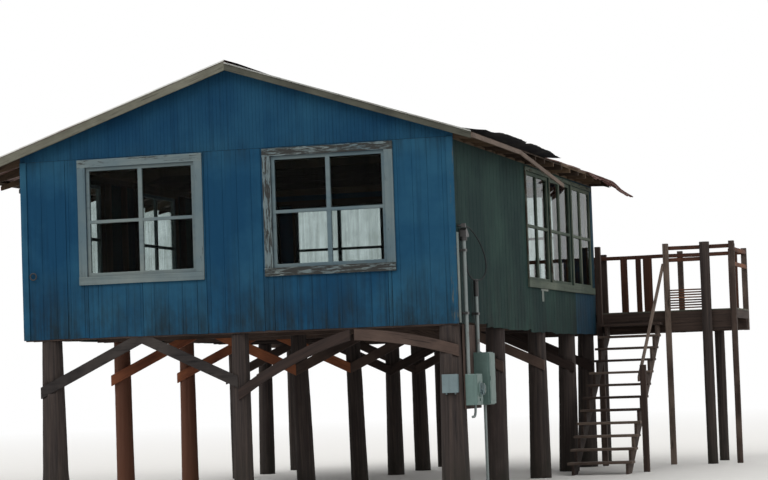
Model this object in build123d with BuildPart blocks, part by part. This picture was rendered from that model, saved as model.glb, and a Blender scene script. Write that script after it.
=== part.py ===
from build123d import *
import math
import os

os.makedirs("parts", exist_ok=True)

# Frame: +X to the right along the front, +Y towards the back, +Z up, millimetres.
# The origin is the centre of the front right corner post's foot, on the ground.

# House body
house_width = 6145
house_depth = 9144
corner_inset = 155
left_column_inset = 345
siding_bottom_z = 2250
right_panel_bottoms = [2250, 2210, 2195, 2170, 2160, 2180]
floor_top_z = 2585
plate_top_z = 4690

# Floor
floor_thick = 25
joist_depth = 140
joist_thick = 38
joist_spacing = 600
girder_depth = 184
girder_thick = 38
girder_gap = 200

# Posts
corner_top_radius = 152
corner_foot_radius = 195
log_top_radius = 118
log_foot_radius = 140
side_log_top_radius = 135
side_log_foot_radius = 165
flare_foot_radius = 265
flare_height = 620
flare_taper = 20
post_leans = [
    [(0, 0), (0, 0), (0, 0)],
    [(-20, -90), (20, 130), (-10, 40)],
    [(-15, 0), (20, 110), (30, -90)],
    [(-30, -50), (-20, 60), (25, 20)],
    [(-40, -20), (20, 30), (-25, -10)],
]
post_columns = 3
house_rows_y = [0, 2450, 5090, 7300, house_depth - 2 * corner_inset]

# Knee braces
brace_depth = 140
brace_thick = 38
brace_feet_z = [1590, 1735, 1750, 1700, 1700]
brace_slope = 0.47
brace_tail = 130
dap_reach = 400
limb_feet_z = {-1: 1900, 1: 1420}
limb_reaches = {-1: 1280, 1: 1580}
limb_depth = 150
limb_crown = 45
limb_crown_share = 0.45

# Walls
siding_thick = 16
panel_gap = 3
stud_depth = 89
stud_thick = 38
stud_spacing = 610
plate_thick = 38
joint_gap = 0.5
front_seams = [660, 1760, 2680, 3490, 5260]
back_seams = [1150, 2305, 3460, 4615]
right_seams = [1536, 2755, 4225, 5875, 7525]
left_seam_pitch = 1219
corner_board_width = 92
corner_board_thick = 19
side_trim_width = 60
side_end_trim = 20

# Windows
window_sill_z = 3086
window_head_z = 4572
side_sill_z = 2950
side_head_z = 4560
front_window_width = 1579
front_window_left_u = [964, 3632]
side_window_pitch = 1629
side_window_post = 50
side_windows_end_gap = 147
side_window_count = 3
left_windows_u = [650, 3500, 6500]
casing_width = 115
casing_thick = 22
sash_depth = 45
sash_bar = 48
sash_mullion = 60
sash_rail = 44
casing_lap = 8
sash_recess = 12
glass_thick = 4
glass_clearance = 0.3
sill_board_height = 110
sill_board_thick = 32
back_window_u = 620
back_window_width = 1220

# Entrance door in the back wall
door_u = 2050
door_width = 860
door_height = 1980
door_thick = 44
door_clearance = 4
door_panel_recess = 10
door_stile = 115
door_lock_rail = 900

# Roof
roof_slope = 1 / 3
rafter_depth = 140
rafter_thick = 38
rafter_spacing = 622
ridge_board_depth = 184
ridge_thick = 38
tie_inset = 110
tie_thick = 38
tie_depth = 120
purlin_edge = 60
felt_drip = 25
sheet_drip = 40
sheet_ridge_gap = 8
rib_foot = 0.5
rib_shoulder = 0.62
rib_fall = 0.88
left_sheet_count = 11
right_sheet_overhangs = [240, 330, 200]
bent_tips = [(190, 120), (290, 200), (400, 300)]
bent_knee_run_share = 0.58
bent_knee_drop_share = 0.65
bent_end_slope = 0.4
bent_sheet_thick = 3
left_overhang = 900
right_overhang = 300
rafter_tail_depth = 60
rake_overhang = 150
rake_drop = 75
rake_board_thick = 25
purlin_depth = 38
purlin_width = 89
purlin_spacing = 590
roof_board_thick = 19
roofing_thick = 6
sheet_rib = 19
sheet_thick = 1.5
sheet_ribs = 6
roofing_end_y = 5300
flap_start_y = 180
flap_inner_x = 120
flap_outer_x = 470
flap_lifts = (55, 150, 95)
fascia_depth = 64
fascia_thick = 22
fascia_break_y = 2500
loose_end_y = 5350
loose_drop = 270
ridge_cap_half = 190

# Rear deck, with an arm that passes the right wall
deck_top_z = 2535
deck_depth = 1400
deck_arm = 2350
deck_board_width = 140
deck_board_gap = 8
deck_board_thick = 25
deck_post_size = 90
deck_log_radius = 88
deck_girder_half = 70
rail_height = 1060
back_rail_height = 1000
second_rail_height = 865
post_rise = 45
rail_depth = 64
rail_thick = 38
deck_post_inset = 30
arm_post_offsets = [1170, 1820]
rail_boards_at = [(190, 120, 995), (455, 95, 955), (585, 155, 945), (2050, 155, 1045)]
picket_thick = 20
picket_width = 90
picket_height = 960
picket_spacing = 260
slat_count = 8
slat_rise = 25
slat_spacing = 42
slat_depth = 24
slat_thick = 20

# Stair beside the right wall
stair_width = 1000
stair_wall_gap = 124
stair_risers = 13
stair_going = 279
tread_thick = 38
stringer_thick = 40
stringer_throat = 170
stringer_inset = 60
tread_nosing = 20
newel_setback = 700
newel_height = 1650
handrail_height = 900

# Electrical service on the right wall
conduit_radius = 27
conduit_wall_gap = 31
service_board_x = 165
service_board_thick = 18
service_board_y0 = -70
service_board_y1 = 780
service_board_bottom_z = 1140
meter_y0 = -65
meter_width = 300
meter_depth = 160
meter_bottom_z = 1187
meter_top_z = 1592
meter_dial_radius = 85
meter_dial_depth = 70
panel_y0 = 420
panel_width = 320
panel_depth = 190
panel_bottom_z = 1182
panel_top_z = 1873
cover_inset = 12
cover_depth = 25
junction_x0 = -86
junction_width = 211
junction_depth = 80
junction_face_y = -150
junction_bottom_z = 1357
junction_top_z = 1598
first_pipe_y = 10
first_pipe_top_z = 3330
second_pipe_y = 570
second_pipe_top_z = 2614
ground_pipe_y = 600
ground_pipe_out = 60
ground_pipe_radius = 20
sleeve_radius = 33
sleeve_length = 230
first_strap_levels = [2370, 3190]
second_strap_levels = [2370]
strap_half = 45
strap_thick = 3
strap_height = 32
elbow_y = 120
elbow_stub = 60
elbow_bend = 90
elbow_reach = 70
elbow_radius = 17
hood_radius = 45
hood_collar = 50
hood_reach = 95
hood_lip = 25
hood_height = 120
hood_shoulder = 84
holder_y = -70
holder_z = 3525
holder_radius = 14
holder_length = 60
holder_clamp = 50
ring_u = 174
ring_z = 3120
ring_radius = 45
ring_wire_radius = 9
ring_stud_length = 30

# Service loop: a cable that hangs in a loop from the wire holder's clamp to the weatherhead
loop_radius = 8
loop_arc_share = 0.45
loop_exit = 150
loop_route = [
    (262, 270, 3470),
    (292, 415, 3385),
    (326, 530, 3260),
    (352, 600, 3110),
    (358, 610, 2970),
    (336, 530, 2860),
    (300, 400, 2815),
    (262, 260, 2820),
    (232, 140, 2880),
    (217, 85, 3000),
    (213, 75, 3140),
    (213, 80, 3270),
]

# Derived places
wall_thick = siding_thick + stud_depth
x_right = corner_inset
x_left = x_right - house_width
x_mid = (x_left + x_right) / 2
y_front = -corner_inset
y_back = y_front + house_depth
joist_top_z = floor_top_z - floor_thick
joist_bottom_z = joist_top_z - joist_depth
girder_bottom_z = joist_bottom_z - girder_depth
post_columns_x = [x_right - corner_inset, x_mid, x_left + left_column_inset]
deck_y0 = y_back
deck_y1 = y_back + deck_depth
deck_x0 = x_left
deck_x1 = x_right + deck_arm
deck_joist_top_z = deck_top_z - deck_board_thick
deck_joist_bottom_z = deck_joist_top_z - joist_depth
deck_row_y = deck_y1 - corner_inset
roof_angle = math.degrees(math.atan(roof_slope))
roof_cos = math.cos(math.radians(roof_angle))
frame_half = house_width / 2 - siding_thick
rafter_rise = rafter_depth / roof_cos
heel_drop = stud_depth * roof_slope
rafter_top_at_wall = plate_top_z - heel_drop + rafter_rise
rafter_top_at_ridge = rafter_top_at_wall + frame_half * roof_slope
y_roof0 = y_front - rake_overhang
y_roof1 = y_back + rake_overhang

# A wall's plane has its origin at the wall's lower corner on the ground, x along the wall and z outward.
front_plane = Plane(origin=(x_left, y_front, 0), x_dir=(1, 0, 0), z_dir=(0, -1, 0))
right_plane = Plane(origin=(x_right, y_front, 0), x_dir=(0, 1, 0), z_dir=(1, 0, 0))
back_plane = Plane(origin=(x_right, y_back, 0), x_dir=(-1, 0, 0), z_dir=(0, 1, 0))
left_plane = Plane(origin=(x_left, y_back, 0), x_dir=(0, -1, 0), z_dir=(-1, 0, 0))

# Openings of each wall as (left, right, bottom, top) along its plane
front_openings = [(u, u + front_window_width, window_sill_z, window_head_z) for u in front_window_left_u]
side_width = side_window_pitch - side_window_post
right_openings = []
side_windows_run = side_window_count * side_window_pitch - side_window_post
side_windows_start = house_depth - side_windows_end_gap - side_windows_run
for i in range(side_window_count):
    right_start = side_windows_start + i * side_window_pitch
    right_openings.append((right_start, right_start + side_width, side_sill_z, side_head_z))
left_openings = [(u, u + side_width, side_sill_z, side_head_z) for u in left_windows_u]
door_head_z = floor_top_z + door_height
back_windows = [
    (back_window_u, back_window_u + back_window_width, window_sill_z, window_head_z),
    (front_window_left_u[1], front_window_left_u[1] + front_window_width, window_sill_z, window_head_z),
]
door_opening = (door_u, door_u + door_width, floor_top_z, door_head_z)
back_openings = [back_windows[0], door_opening, back_windows[1]]


def block(low, high):
    """A box between two corners, added to the part that is being built."""
    size = [h - l for l, h in zip(low, high)]
    with Locations(low):
        Box(*size, align=(Align.MIN, Align.MIN, Align.MIN))


def wall_rectangles(plane, rectangles, thick, outward=0):
    """Flat pieces on a wall plane, given as (left, right, bottom, top) and extruded into the wall."""
    with BuildSketch(plane.offset(outward)) as flat:
        for left, right, bottom, top in rectangles:
            with Locations(((left + right) / 2, (bottom + top) / 2)):
                Rectangle(right - left, top - bottom)
    extrude(flat.sketch, amount=-thick)


def siding_rectangles(start, end, seams, openings, bottoms, top):
    """Siding split at its seams and beside, under and over each opening, with a bottom for each panel."""
    cuts = {start, end}
    cuts.update(s for s in seams if start < s < end)
    for left, right, _, _ in openings:
        cuts.update(s for s in (left, right) if start < s < end)
    edges = sorted(cuts)
    pieces = []
    for left, right in zip(edges, edges[1:]):
        u0 = left + panel_gap / 2 if left > start else left
        u1 = right - panel_gap / 2 if right < end else right
        if u1 - u0 < panel_gap:
            continue
        middle = (left + right) / 2
        bottom = bottoms[sum(s < middle for s in seams)]
        holes = [o for o in openings if o[0] < middle < o[1]]
        if not holes:
            pieces.append((u0, u1, bottom, top))
            continue
        _, _, low, high = holes[0]
        if low - bottom > panel_gap:
            pieces.append((u0, u1, bottom, low))
        if top - high > panel_gap:
            pieces.append((u0, u1, high, top))
    return pieces


# Girders: a pair of boards on each row, one on each side of the posts
girder_half = girder_gap / 2
girder_x0 = x_left + siding_thick
girder_x1 = x_right - siding_thick

with BuildPart() as girders:
    for row_y in house_rows_y:
        for side in (-1, 1):
            face_y = row_y + side * (girder_half + girder_thick / 2)
            block(
                (girder_x0, face_y - girder_thick / 2, girder_bottom_z),
                (girder_x1, face_y + girder_thick / 2, joist_bottom_z),
            )

# Knee braces: boards let into the posts, rising to the girders from both ends of each bay
brace_half = brace_depth / 2 / math.cos(math.atan(brace_slope))


def brace_face(foot_x, foot_z, toward, tail):
    """A brace's outline on its row's plane, level under the girder and plumb at its foot."""
    tail_x = foot_x - toward * tail
    tail_z = foot_z - tail * brace_slope
    low_run = (girder_bottom_z - foot_z + brace_half) / brace_slope
    high_run = (girder_bottom_z - foot_z - brace_half) / brace_slope
    with BuildLine() as edge:
        Polyline(
            (tail_x, tail_z - brace_half),
            (foot_x + toward * low_run, girder_bottom_z),
            (foot_x + toward * high_run, girder_bottom_z),
            (tail_x, tail_z + brace_half),
            close=True,
        )
    make_face(edge.edges())


def limb_face(foot_x, toward, tail):
    """A naturally bent limb: two arcs that end plumb at the post and under the girder."""
    tail_x = foot_x - toward * tail
    head_x = foot_x + toward * limb_reaches[toward]
    low_start = (tail_x, limb_feet_z[toward] - limb_depth / 2)
    low_end = (head_x, girder_bottom_z - limb_depth)
    high_start = (head_x, girder_bottom_z)
    high_end = (tail_x, limb_feet_z[toward] + limb_depth / 2)
    mid_x = foot_x + toward * limb_reaches[toward] * limb_crown_share
    crown = (high_end[1] + high_start[1]) / 2 + limb_crown
    with BuildLine() as edge:
        ThreePointArc(low_start, (mid_x, crown - limb_depth), low_end)
        Line(low_end, high_start)
        ThreePointArc(high_start, (mid_x, crown), high_end)
        Line(high_end, low_start)
    make_face(edge.edges())


def add_braces(thick):
    """All braces, with the given thickness forward of the posts' flats."""
    for row, row_y in enumerate(house_rows_y):
        brace_plane = Plane.XZ.offset(girder_half - row_y)
        for column in range(post_columns - 1):
            ends = ((column + 1, 1), (column, -1))
            for end_column, toward in ends:
                is_outer = end_column in (0, post_columns - 1)
                tail = brace_tail if is_outer else -joint_gap
                foot_x = post_columns_x[end_column]
                with BuildSketch(brace_plane) as flat:
                    if row == 0 and column == 0:
                        limb_face(foot_x, toward, tail)
                    else:
                        brace_face(foot_x, brace_feet_z[row], toward, tail)
                extrude(flat.sketch, amount=thick)


with BuildPart() as knee_braces:
    add_braces(brace_thick)

with BuildPart() as brace_daps:
    add_braces(dap_reach)

# Posts: tapered logs with flats for the girders, and a swollen butt at the front left corner
with BuildPart() as house_posts:
    for row, row_y in enumerate(house_rows_y):
        for column, column_x in enumerate(post_columns_x):
            if row == 0 and column == post_columns - 1:
                butt_radius = corner_foot_radius - flare_taper
                with BuildSketch(Plane.XZ.offset(-row_y)):
                    with BuildLine():
                        Line((column_x, 0), (column_x + flare_foot_radius, 0))
                        Spline(
                            (column_x + flare_foot_radius, 0),
                            (column_x + butt_radius, flare_height),
                            tangents=((-0.4, 1), (0, 1)),
                        )
                        Line(
                            (column_x + butt_radius, flare_height),
                            (column_x + log_top_radius + flare_taper, joist_bottom_z),
                        )
                        Line(
                            (column_x + log_top_radius + flare_taper, joist_bottom_z),
                            (column_x, joist_bottom_z),
                        )
                        Line((column_x, joist_bottom_z), (column_x, 0))
                    make_face()
                revolve(axis=Axis((column_x, row_y, 0), (0, 0, 1)))
                continue
            top_radius = log_top_radius
            foot_radius = log_foot_radius
            lean_x, lean_y = post_leans[row][column]
            if column == 0:
                top_radius = corner_top_radius if row == 0 else side_log_top_radius
                foot_radius = corner_foot_radius if row == 0 else side_log_foot_radius
            with BuildSketch(Plane.XY):
                with Locations((column_x + lean_x, row_y + lean_y)):
                    Circle(foot_radius)
            with BuildSketch(Plane.XY.offset(joist_bottom_z)):
                with Locations((column_x, row_y)):
                    Circle(top_radius)
            loft()
    add(brace_daps.part, mode=Mode.SUBTRACT)
    for row_y in house_rows_y:
        for side in (-1, 1):
            flat_y = row_y + side * (girder_half + dap_reach / 2)
            with Locations((x_mid, flat_y, (girder_bottom_z + joist_bottom_z) / 2)):
                Box(house_width + dap_reach, dap_reach, girder_depth, mode=Mode.SUBTRACT)
    for side_x in (x_left + siding_thick - dap_reach / 2, x_right - siding_thick + dap_reach / 2):
        with Locations((side_x, (y_front + y_back) / 2, (girder_bottom_z + joist_bottom_z) / 2)):
            Box(dap_reach, house_depth + dap_reach, girder_depth, mode=Mode.SUBTRACT)
    board_flat_z = (service_board_bottom_z + girder_bottom_z) / 2
    with Locations((service_board_x + dap_reach / 2, 0, board_flat_z)):
        Box(dap_reach, house_rows_y[1], girder_bottom_z - service_board_bottom_z, mode=Mode.SUBTRACT)
    junction_mid_z = (junction_bottom_z + junction_top_z) / 2
    with Locations((0, junction_face_y - dap_reach / 2, junction_mid_z)):
        Box(dap_reach, dap_reach, junction_top_z - junction_bottom_z, mode=Mode.SUBTRACT)

# Floor: joists along the depth, rims across their ends, and the boards as one sheet
frame_x0 = x_left + siding_thick
frame_x1 = x_right - siding_thick
frame_y0 = y_front + siding_thick
frame_y1 = y_back - siding_thick
joist_count = round((frame_x1 - frame_x0) / joist_spacing) + 1
joist_pitch = (frame_x1 - frame_x0 - joist_thick) / (joist_count - 1)

with BuildPart() as floor_joists:
    for i in range(joist_count):
        joist_x = frame_x0 + i * joist_pitch
        block(
            (joist_x, frame_y0 + joist_thick + joint_gap, joist_bottom_z),
            (joist_x + joist_thick, frame_y1 - joist_thick - joint_gap, joist_top_z),
        )
    for rim_y in (frame_y0, frame_y1 - joist_thick):
        block((frame_x0, rim_y, joist_bottom_z), (frame_x1, rim_y + joist_thick, joist_top_z))

with BuildPart() as floor:
    block((frame_x0, frame_y0, joist_top_z), (frame_x1, frame_y1, floor_top_z))

# Wall plates
plate_in_y0 = frame_y0 + stud_depth
plate_in_y1 = frame_y1 - stud_depth
door_x1 = x_right - door_u
door_x0 = door_x1 - door_width
bottom_plate_top_z = floor_top_z + plate_thick
top_plate_bottom_z = plate_top_z - 2 * plate_thick

with BuildPart() as wall_plates:
    block((frame_x0, plate_in_y1, floor_top_z), (door_x0, frame_y1, bottom_plate_top_z))
    block((door_x1, plate_in_y1, floor_top_z), (frame_x1, frame_y1, bottom_plate_top_z))
    block((frame_x0, plate_in_y1, top_plate_bottom_z), (frame_x1, frame_y1, plate_top_z))
    for low, high in ((floor_top_z, bottom_plate_top_z), (top_plate_bottom_z, plate_top_z)):
        block((frame_x0, frame_y0, low), (frame_x1, plate_in_y0, high))
        for side_x in (frame_x0, frame_x1 - stud_depth):
            block(
                (side_x, plate_in_y0 + joint_gap, low),
                (side_x + stud_depth, plate_in_y1 - joint_gap, high),
            )

# Studs: jambs at each opening, regular studs between them and short ones under the windows
walls = [
    (front_plane, siding_thick, house_width - siding_thick, front_openings),
    (back_plane, siding_thick, house_width - siding_thick, back_openings),
    (right_plane, wall_thick + joint_gap, house_depth - wall_thick - joint_gap, right_openings),
    (left_plane, wall_thick + joint_gap, house_depth - wall_thick - joint_gap, left_openings),
]


def stud_rectangles(start, end, openings):
    """Stud rectangles of one wall, as (left, right, bottom, top)."""
    jambs = []
    for left, right, _, _ in openings:
        jambs += [(left - stud_thick, left), (right, right + stud_thick)]
    studs = [(left, right, bottom_plate_top_z, top_plate_bottom_z) for left, right in jambs]
    count = math.floor((end - start) / stud_spacing)
    regular = [start + i * stud_spacing for i in range(count)] + [end - stud_thick]
    for u in regular:
        clear = all(
            u + stud_thick < left - stud_thick - panel_gap or u > right + stud_thick + panel_gap
            for left, right, _, _ in openings
        )
        if clear:
            studs.append((u, u + stud_thick, bottom_plate_top_z, top_plate_bottom_z))
    for left, right, low, _ in openings:
        if low <= floor_top_z:
            continue
        start_u = (left + right - stud_thick) / 2
        studs.append((start_u, start_u + stud_thick, bottom_plate_top_z, low - plate_thick))
    return studs


with BuildPart() as wall_studs:
    for plane, start, end, openings in walls:
        wall_rectangles(plane, stud_rectangles(start, end, openings), stud_depth, -siding_thick)

with BuildPart() as window_headers:
    for plane, start, end, openings in walls:
        headers = [(left, right, high, top_plate_bottom_z) for left, right, _, high in openings]
        sills = [(left, right, low - plate_thick, low) for left, right, low, _ in openings if low > floor_top_z]
        wall_rectangles(plane, headers + sills, stud_depth, -siding_thick)

# Siding: plywood panels with open seams
side_siding_top_z = plate_top_z - heel_drop - siding_thick * roof_slope - panel_gap
left_seams = [left_seam_pitch * (i + 1) for i in range(math.floor(house_depth / left_seam_pitch))]
front_bottoms = [siding_bottom_z] * (len(front_seams) + 1)
back_bottoms = [siding_bottom_z] * (len(back_seams) + 1)
left_bottoms = [siding_bottom_z] * (len(left_seams) + 1)
gable_gap = panel_gap

with BuildPart() as siding_front:
    wall_rectangles(
        front_plane,
        siding_rectangles(0, house_width, front_seams, front_openings, front_bottoms, plate_top_z),
        siding_thick,
    )

with BuildPart() as siding_back:
    wall_rectangles(
        back_plane,
        siding_rectangles(0, house_width, back_seams, back_openings, back_bottoms, plate_top_z),
        siding_thick,
    )

with BuildPart() as siding_right:
    wall_rectangles(
        right_plane,
        siding_rectangles(
            siding_thick,
            house_depth - siding_thick,
            right_seams,
            right_openings,
            right_panel_bottoms,
            side_siding_top_z,
        ),
        siding_thick,
    )

with BuildPart() as siding_left:
    wall_rectangles(
        left_plane,
        siding_rectangles(
            siding_thick,
            house_depth - siding_thick,
            left_seams,
            left_openings,
            left_bottoms,
            side_siding_top_z,
        ),
        siding_thick,
    )

with BuildPart() as gable_siding:
    for plane in (front_plane, back_plane):
        with BuildSketch(plane):
            with BuildLine():
                Polyline(
                    (0, plate_top_z + gable_gap),
                    (house_width, plate_top_z + gable_gap),
                    (house_width, rafter_top_at_wall - siding_thick * roof_slope),
                    (house_width / 2, rafter_top_at_ridge),
                    (0, rafter_top_at_wall - siding_thick * roof_slope),
                    close=True,
                )
            make_face()
        extrude(amount=-siding_thick)

# Corner boards stand on the siding's face at the four corners
with BuildPart() as corner_boards:
    for plane, bottom in ((front_plane, siding_bottom_z), (back_plane, deck_top_z + joint_gap)):
        wall_rectangles(
            plane,
            [
                (0, corner_board_width, bottom, plate_top_z),
                (house_width - corner_board_width, house_width, bottom, plate_top_z),
            ],
            corner_board_thick,
            corner_board_thick,
        )

# Window and door casings: four flat boards round each opening
head_height = casing_width - casing_lap
casing_sets = [
    (front_plane, front_openings, head_height),
    (back_plane, back_openings, head_height),
    (left_plane, left_openings, side_trim_width),
]


def casing_rectangles(left, right, low, high, head):
    """Head and jamb boards round one opening."""
    return [
        (left - casing_width, right + casing_width, high, high + head),
        (left - casing_width, left, low, high - joint_gap),
        (right, right + casing_width, low, high - joint_gap),
    ]


with BuildPart() as window_casings:
    for plane, openings, head in casing_sets:
        for left, right, low, high in openings:
            wall_rectangles(plane, casing_rectangles(left, right, low, high, head), casing_thick, casing_thick)
    right_start = right_openings[0][0]
    right_end = right_openings[-1][1]
    strips = [
        (right_start - side_trim_width, right_start, side_sill_z, side_head_z - joint_gap),
        (right_start - side_trim_width, right_end + side_end_trim, side_head_z, side_head_z + side_trim_width),
    ]
    for (_, left, low, high), (right, _, _, _) in zip(right_openings, right_openings[1:]):
        strips.append((left, right, low, high - joint_gap))
    wall_rectangles(right_plane, strips, casing_thick, casing_thick)
    for plane, openings, _ in casing_sets:
        for left, right, low, high in openings:
            if low <= floor_top_z:
                continue
            wall_rectangles(
                plane,
                [(left - casing_width, right + casing_width, low - sill_board_height, low - joint_gap)],
                sill_board_thick,
                sill_board_thick,
            )
    wall_rectangles(
        right_plane,
        [
            (
                right_start - side_trim_width,
                right_end + side_end_trim,
                side_sill_z - sill_board_height,
                side_sill_z - joint_gap,
            )
        ],
        sill_board_thick,
        sill_board_thick,
    )


# Sashes: one frame for each window, with a centre bar and a middle rail
def pane_rectangles(left, right, low, high):
    """The four glass openings of one window."""
    middle_u = (left + right) / 2
    middle_z = (low + high) / 2
    half_mullion = sash_mullion / 2
    half_rail = sash_rail / 2
    columns = [(left + sash_bar, middle_u - half_mullion), (middle_u + half_mullion, right - sash_bar)]
    rows = [(low + sash_bar, middle_z - half_rail), (middle_z + half_rail, high - sash_bar)]
    return [(u0, u1, z0, z1) for u0, u1 in columns for z0, z1 in rows]


def add_sash(plane, left, right, low, high):
    """One window's frame with its four panes cut through."""
    with BuildSketch(plane.offset(-sash_recess)) as flat:
        with Locations(((left + right) / 2, (low + high) / 2)):
            Rectangle(right - left, high - low)
        for u0, u1, z0, z1 in pane_rectangles(left, right, low, high):
            with Locations(((u0 + u1) / 2, (z0 + z1) / 2)):
                Rectangle(u1 - u0, z1 - z0, mode=Mode.SUBTRACT)
    extrude(flat.sketch, amount=-sash_depth)


glazed = [
    (front_plane, front_openings),
    (right_plane, right_openings),
    (left_plane, left_openings),
    (back_plane, back_windows),
]

with BuildPart() as window_sashes:
    for plane, openings in glazed:
        for opening in openings:
            add_sash(plane, *opening)

with BuildPart() as window_glass:
    for plane, openings in glazed:
        panes = []
        for opening in openings:
            for u0, u1, z0, z1 in pane_rectangles(*opening):
                c = glass_clearance
                panes.append((u0 + c, u1 - c, z0 + c, z1 - c))
        wall_rectangles(plane, panes, glass_thick, -sash_recess - (sash_depth - glass_thick) / 2)

# Entrance door: a closed leaf with recessed panels, standing on the floor's edge
with BuildPart() as entrance_door:
    with BuildSketch(back_plane.offset(-sash_recess)):
        with Locations((door_u + door_width / 2, floor_top_z)):
            Rectangle(
                door_width - 2 * door_clearance,
                door_height - door_clearance,
                align=(Align.CENTER, Align.MIN),
            )
    extrude(amount=-door_thick)
    door_panel_width = (door_width - 3 * door_stile) / 2
    panel_heights = [(door_stile, door_lock_rail), (door_lock_rail + door_stile, door_height - door_stile)]
    with BuildSketch(back_plane.offset(-sash_recess)):
        for side in (-1, 1):
            for low, high in panel_heights:
                panel_u = door_u + door_width / 2 + side * (door_panel_width + door_stile) / 2
                with Locations((panel_u, floor_top_z + (low + high) / 2)):
                    Rectangle(door_panel_width, high - low)
    extrude(amount=-door_panel_recess, mode=Mode.SUBTRACT)

# Roof frame: rafters with birdsmouth seats on the side plates, a ridge board and ties
rafter_count = round((frame_y1 - frame_y0 - rafter_thick) / rafter_spacing) + 1
rafter_pitch = (frame_y1 - frame_y0 - rafter_thick) / (rafter_count - 1)
rafter_end = frame_half - ridge_thick / 2


def slope_point(side, inward, height):
    """A point over the rafters' top line, from the distance inside the frame and the height above it."""
    x = x_mid + side * (frame_half - inward)
    return (x, rafter_top_at_wall + inward * roof_slope + height)


def rafter_face(side, overhang):
    """A rafter's outline: side is -1 on the left slope and 1 on the right."""
    under = -rafter_rise
    with BuildLine() as edge:
        Polyline(
            slope_point(side, -overhang, 0),
            slope_point(side, rafter_end, 0),
            slope_point(side, rafter_end, under),
            slope_point(side, stud_depth, under),
            (x_mid + side * frame_half, plate_top_z),
            slope_point(side, 0, under),
            slope_point(side, -overhang, -rafter_tail_depth),
            close=True,
        )
    make_face(edge.edges())


with BuildPart() as rafters:
    for i in range(rafter_count):
        rafter_y = frame_y0 + i * rafter_pitch
        for side, overhang in ((-1, left_overhang), (1, right_overhang)):
            with BuildSketch(Plane.XZ.offset(-rafter_y)):
                rafter_face(side, overhang)
            extrude(amount=-rafter_thick)

ridge_top_z = rafter_top_at_wall + rafter_end * roof_slope
with BuildPart() as ridge_board:
    block(
        (x_mid - ridge_thick / 2, frame_y0, ridge_top_z - ridge_board_depth),
        (x_mid + ridge_thick / 2, frame_y1, ridge_top_z),
    )

with BuildPart() as ceiling_ties:
    for i in range(1, rafter_count - 1, 2):
        tie_y = frame_y0 + i * rafter_pitch + rafter_thick
        block(
            (frame_x0 + tie_inset, tie_y, plate_top_z),
            (frame_x1 - tie_inset, tie_y + tie_thick, plate_top_z + tie_depth),
        )

# Purlins carry the metal sheets: the whole left slope, and the rear of the right one
run_left = frame_half + left_overhang
run_right = frame_half + right_overhang


def purlin_places(run, overhang):
    """Distances inside the frame of one slope's purlins, from its eave up."""
    count = math.floor(run / purlin_spacing) + 1
    return [-overhang + purlin_edge + i * purlin_spacing for i in range(count)]


def purlin_row(side, inward, y_low, y_high):
    """One purlin lying flat on the rafters."""
    x, z = slope_point(side, inward, 0)
    with BuildSketch(Plane.XZ.offset(-y_low)) as flat:
        with Locations(Location((x, z, 0), (0, 0, -side * roof_angle))):
            Rectangle(purlin_width, purlin_depth, align=(Align.CENTER, Align.MIN))
    extrude(flat.sketch, amount=y_low - y_high)


purlin_y0 = y_roof0 + rake_board_thick
purlin_y1 = y_roof1 - rake_board_thick
with BuildPart() as purlins:
    for inward in purlin_places(run_left, left_overhang):
        purlin_row(-1, inward, purlin_y0, purlin_y1)
    for inward in purlin_places(run_right, right_overhang):
        purlin_row(1, inward, roofing_end_y, purlin_y1)


def slope_slab(side, inward_low, inward_high, bottom, top, y_low, y_high):
    """A flat layer that follows the slope between two heights over the rafters."""
    with BuildSketch(Plane.XZ.offset(-y_low)) as flat:
        with BuildLine():
            Polyline(
                slope_point(side, inward_low, bottom),
                slope_point(side, inward_high, bottom),
                slope_point(side, inward_high, top),
                slope_point(side, inward_low, top),
                close=True,
            )
        make_face()
    extrude(flat.sketch, amount=y_low - y_high)


purlin_top = purlin_depth / roof_cos
board_top = roof_board_thick / roof_cos
roofing_top = board_top + roofing_thick / roof_cos
ridge_inset = frame_half - sheet_ridge_gap

with BuildPart() as roof_boards:
    slope_slab(1, -right_overhang, ridge_inset, 0, board_top, purlin_y0 + joint_gap, roofing_end_y - joint_gap)

with BuildPart() as roofing_felt:
    felt_end = roofing_end_y - joint_gap
    felt_start = y_roof0 - felt_drip
    slope_slab(1, -right_overhang - felt_drip, ridge_inset, board_top, roofing_top, felt_start, felt_end)

# A flap of felt that has lifted off the eave: straight along its root and arched along its free edge
with BuildPart() as felt_flap:
    flap_root_z = slope_point(1, frame_half + x_mid - flap_inner_x, roofing_top)[1]
    flap_edge_z = slope_point(1, frame_half + x_mid - flap_outer_x, roofing_top)[1]
    flap_mid_y = (flap_start_y + felt_end) / 2
    flap_edges = [(flap_inner_x, flap_root_z, (0, 0, 0)), (flap_outer_x, flap_edge_z, flap_lifts)]
    for flap_x, base_z, (lift_front, lift_middle, lift_back) in flap_edges:
        front = (flap_start_y, base_z + lift_front)
        middle = (flap_mid_y, base_z + lift_middle + joint_gap)
        back = (felt_end, base_z + lift_back)
        with BuildSketch(Plane.YZ.offset(flap_x)):
            with BuildLine():
                ThreePointArc(front, middle, back)
                Line(back, (back[0], back[1] + roofing_thick))
                ThreePointArc(
                    (back[0], back[1] + roofing_thick),
                    (middle[0], middle[1] + roofing_thick),
                    (front[0], front[1] + roofing_thick),
                )
                Line((front[0], front[1] + roofing_thick), front)
            make_face()
    loft()


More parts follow.
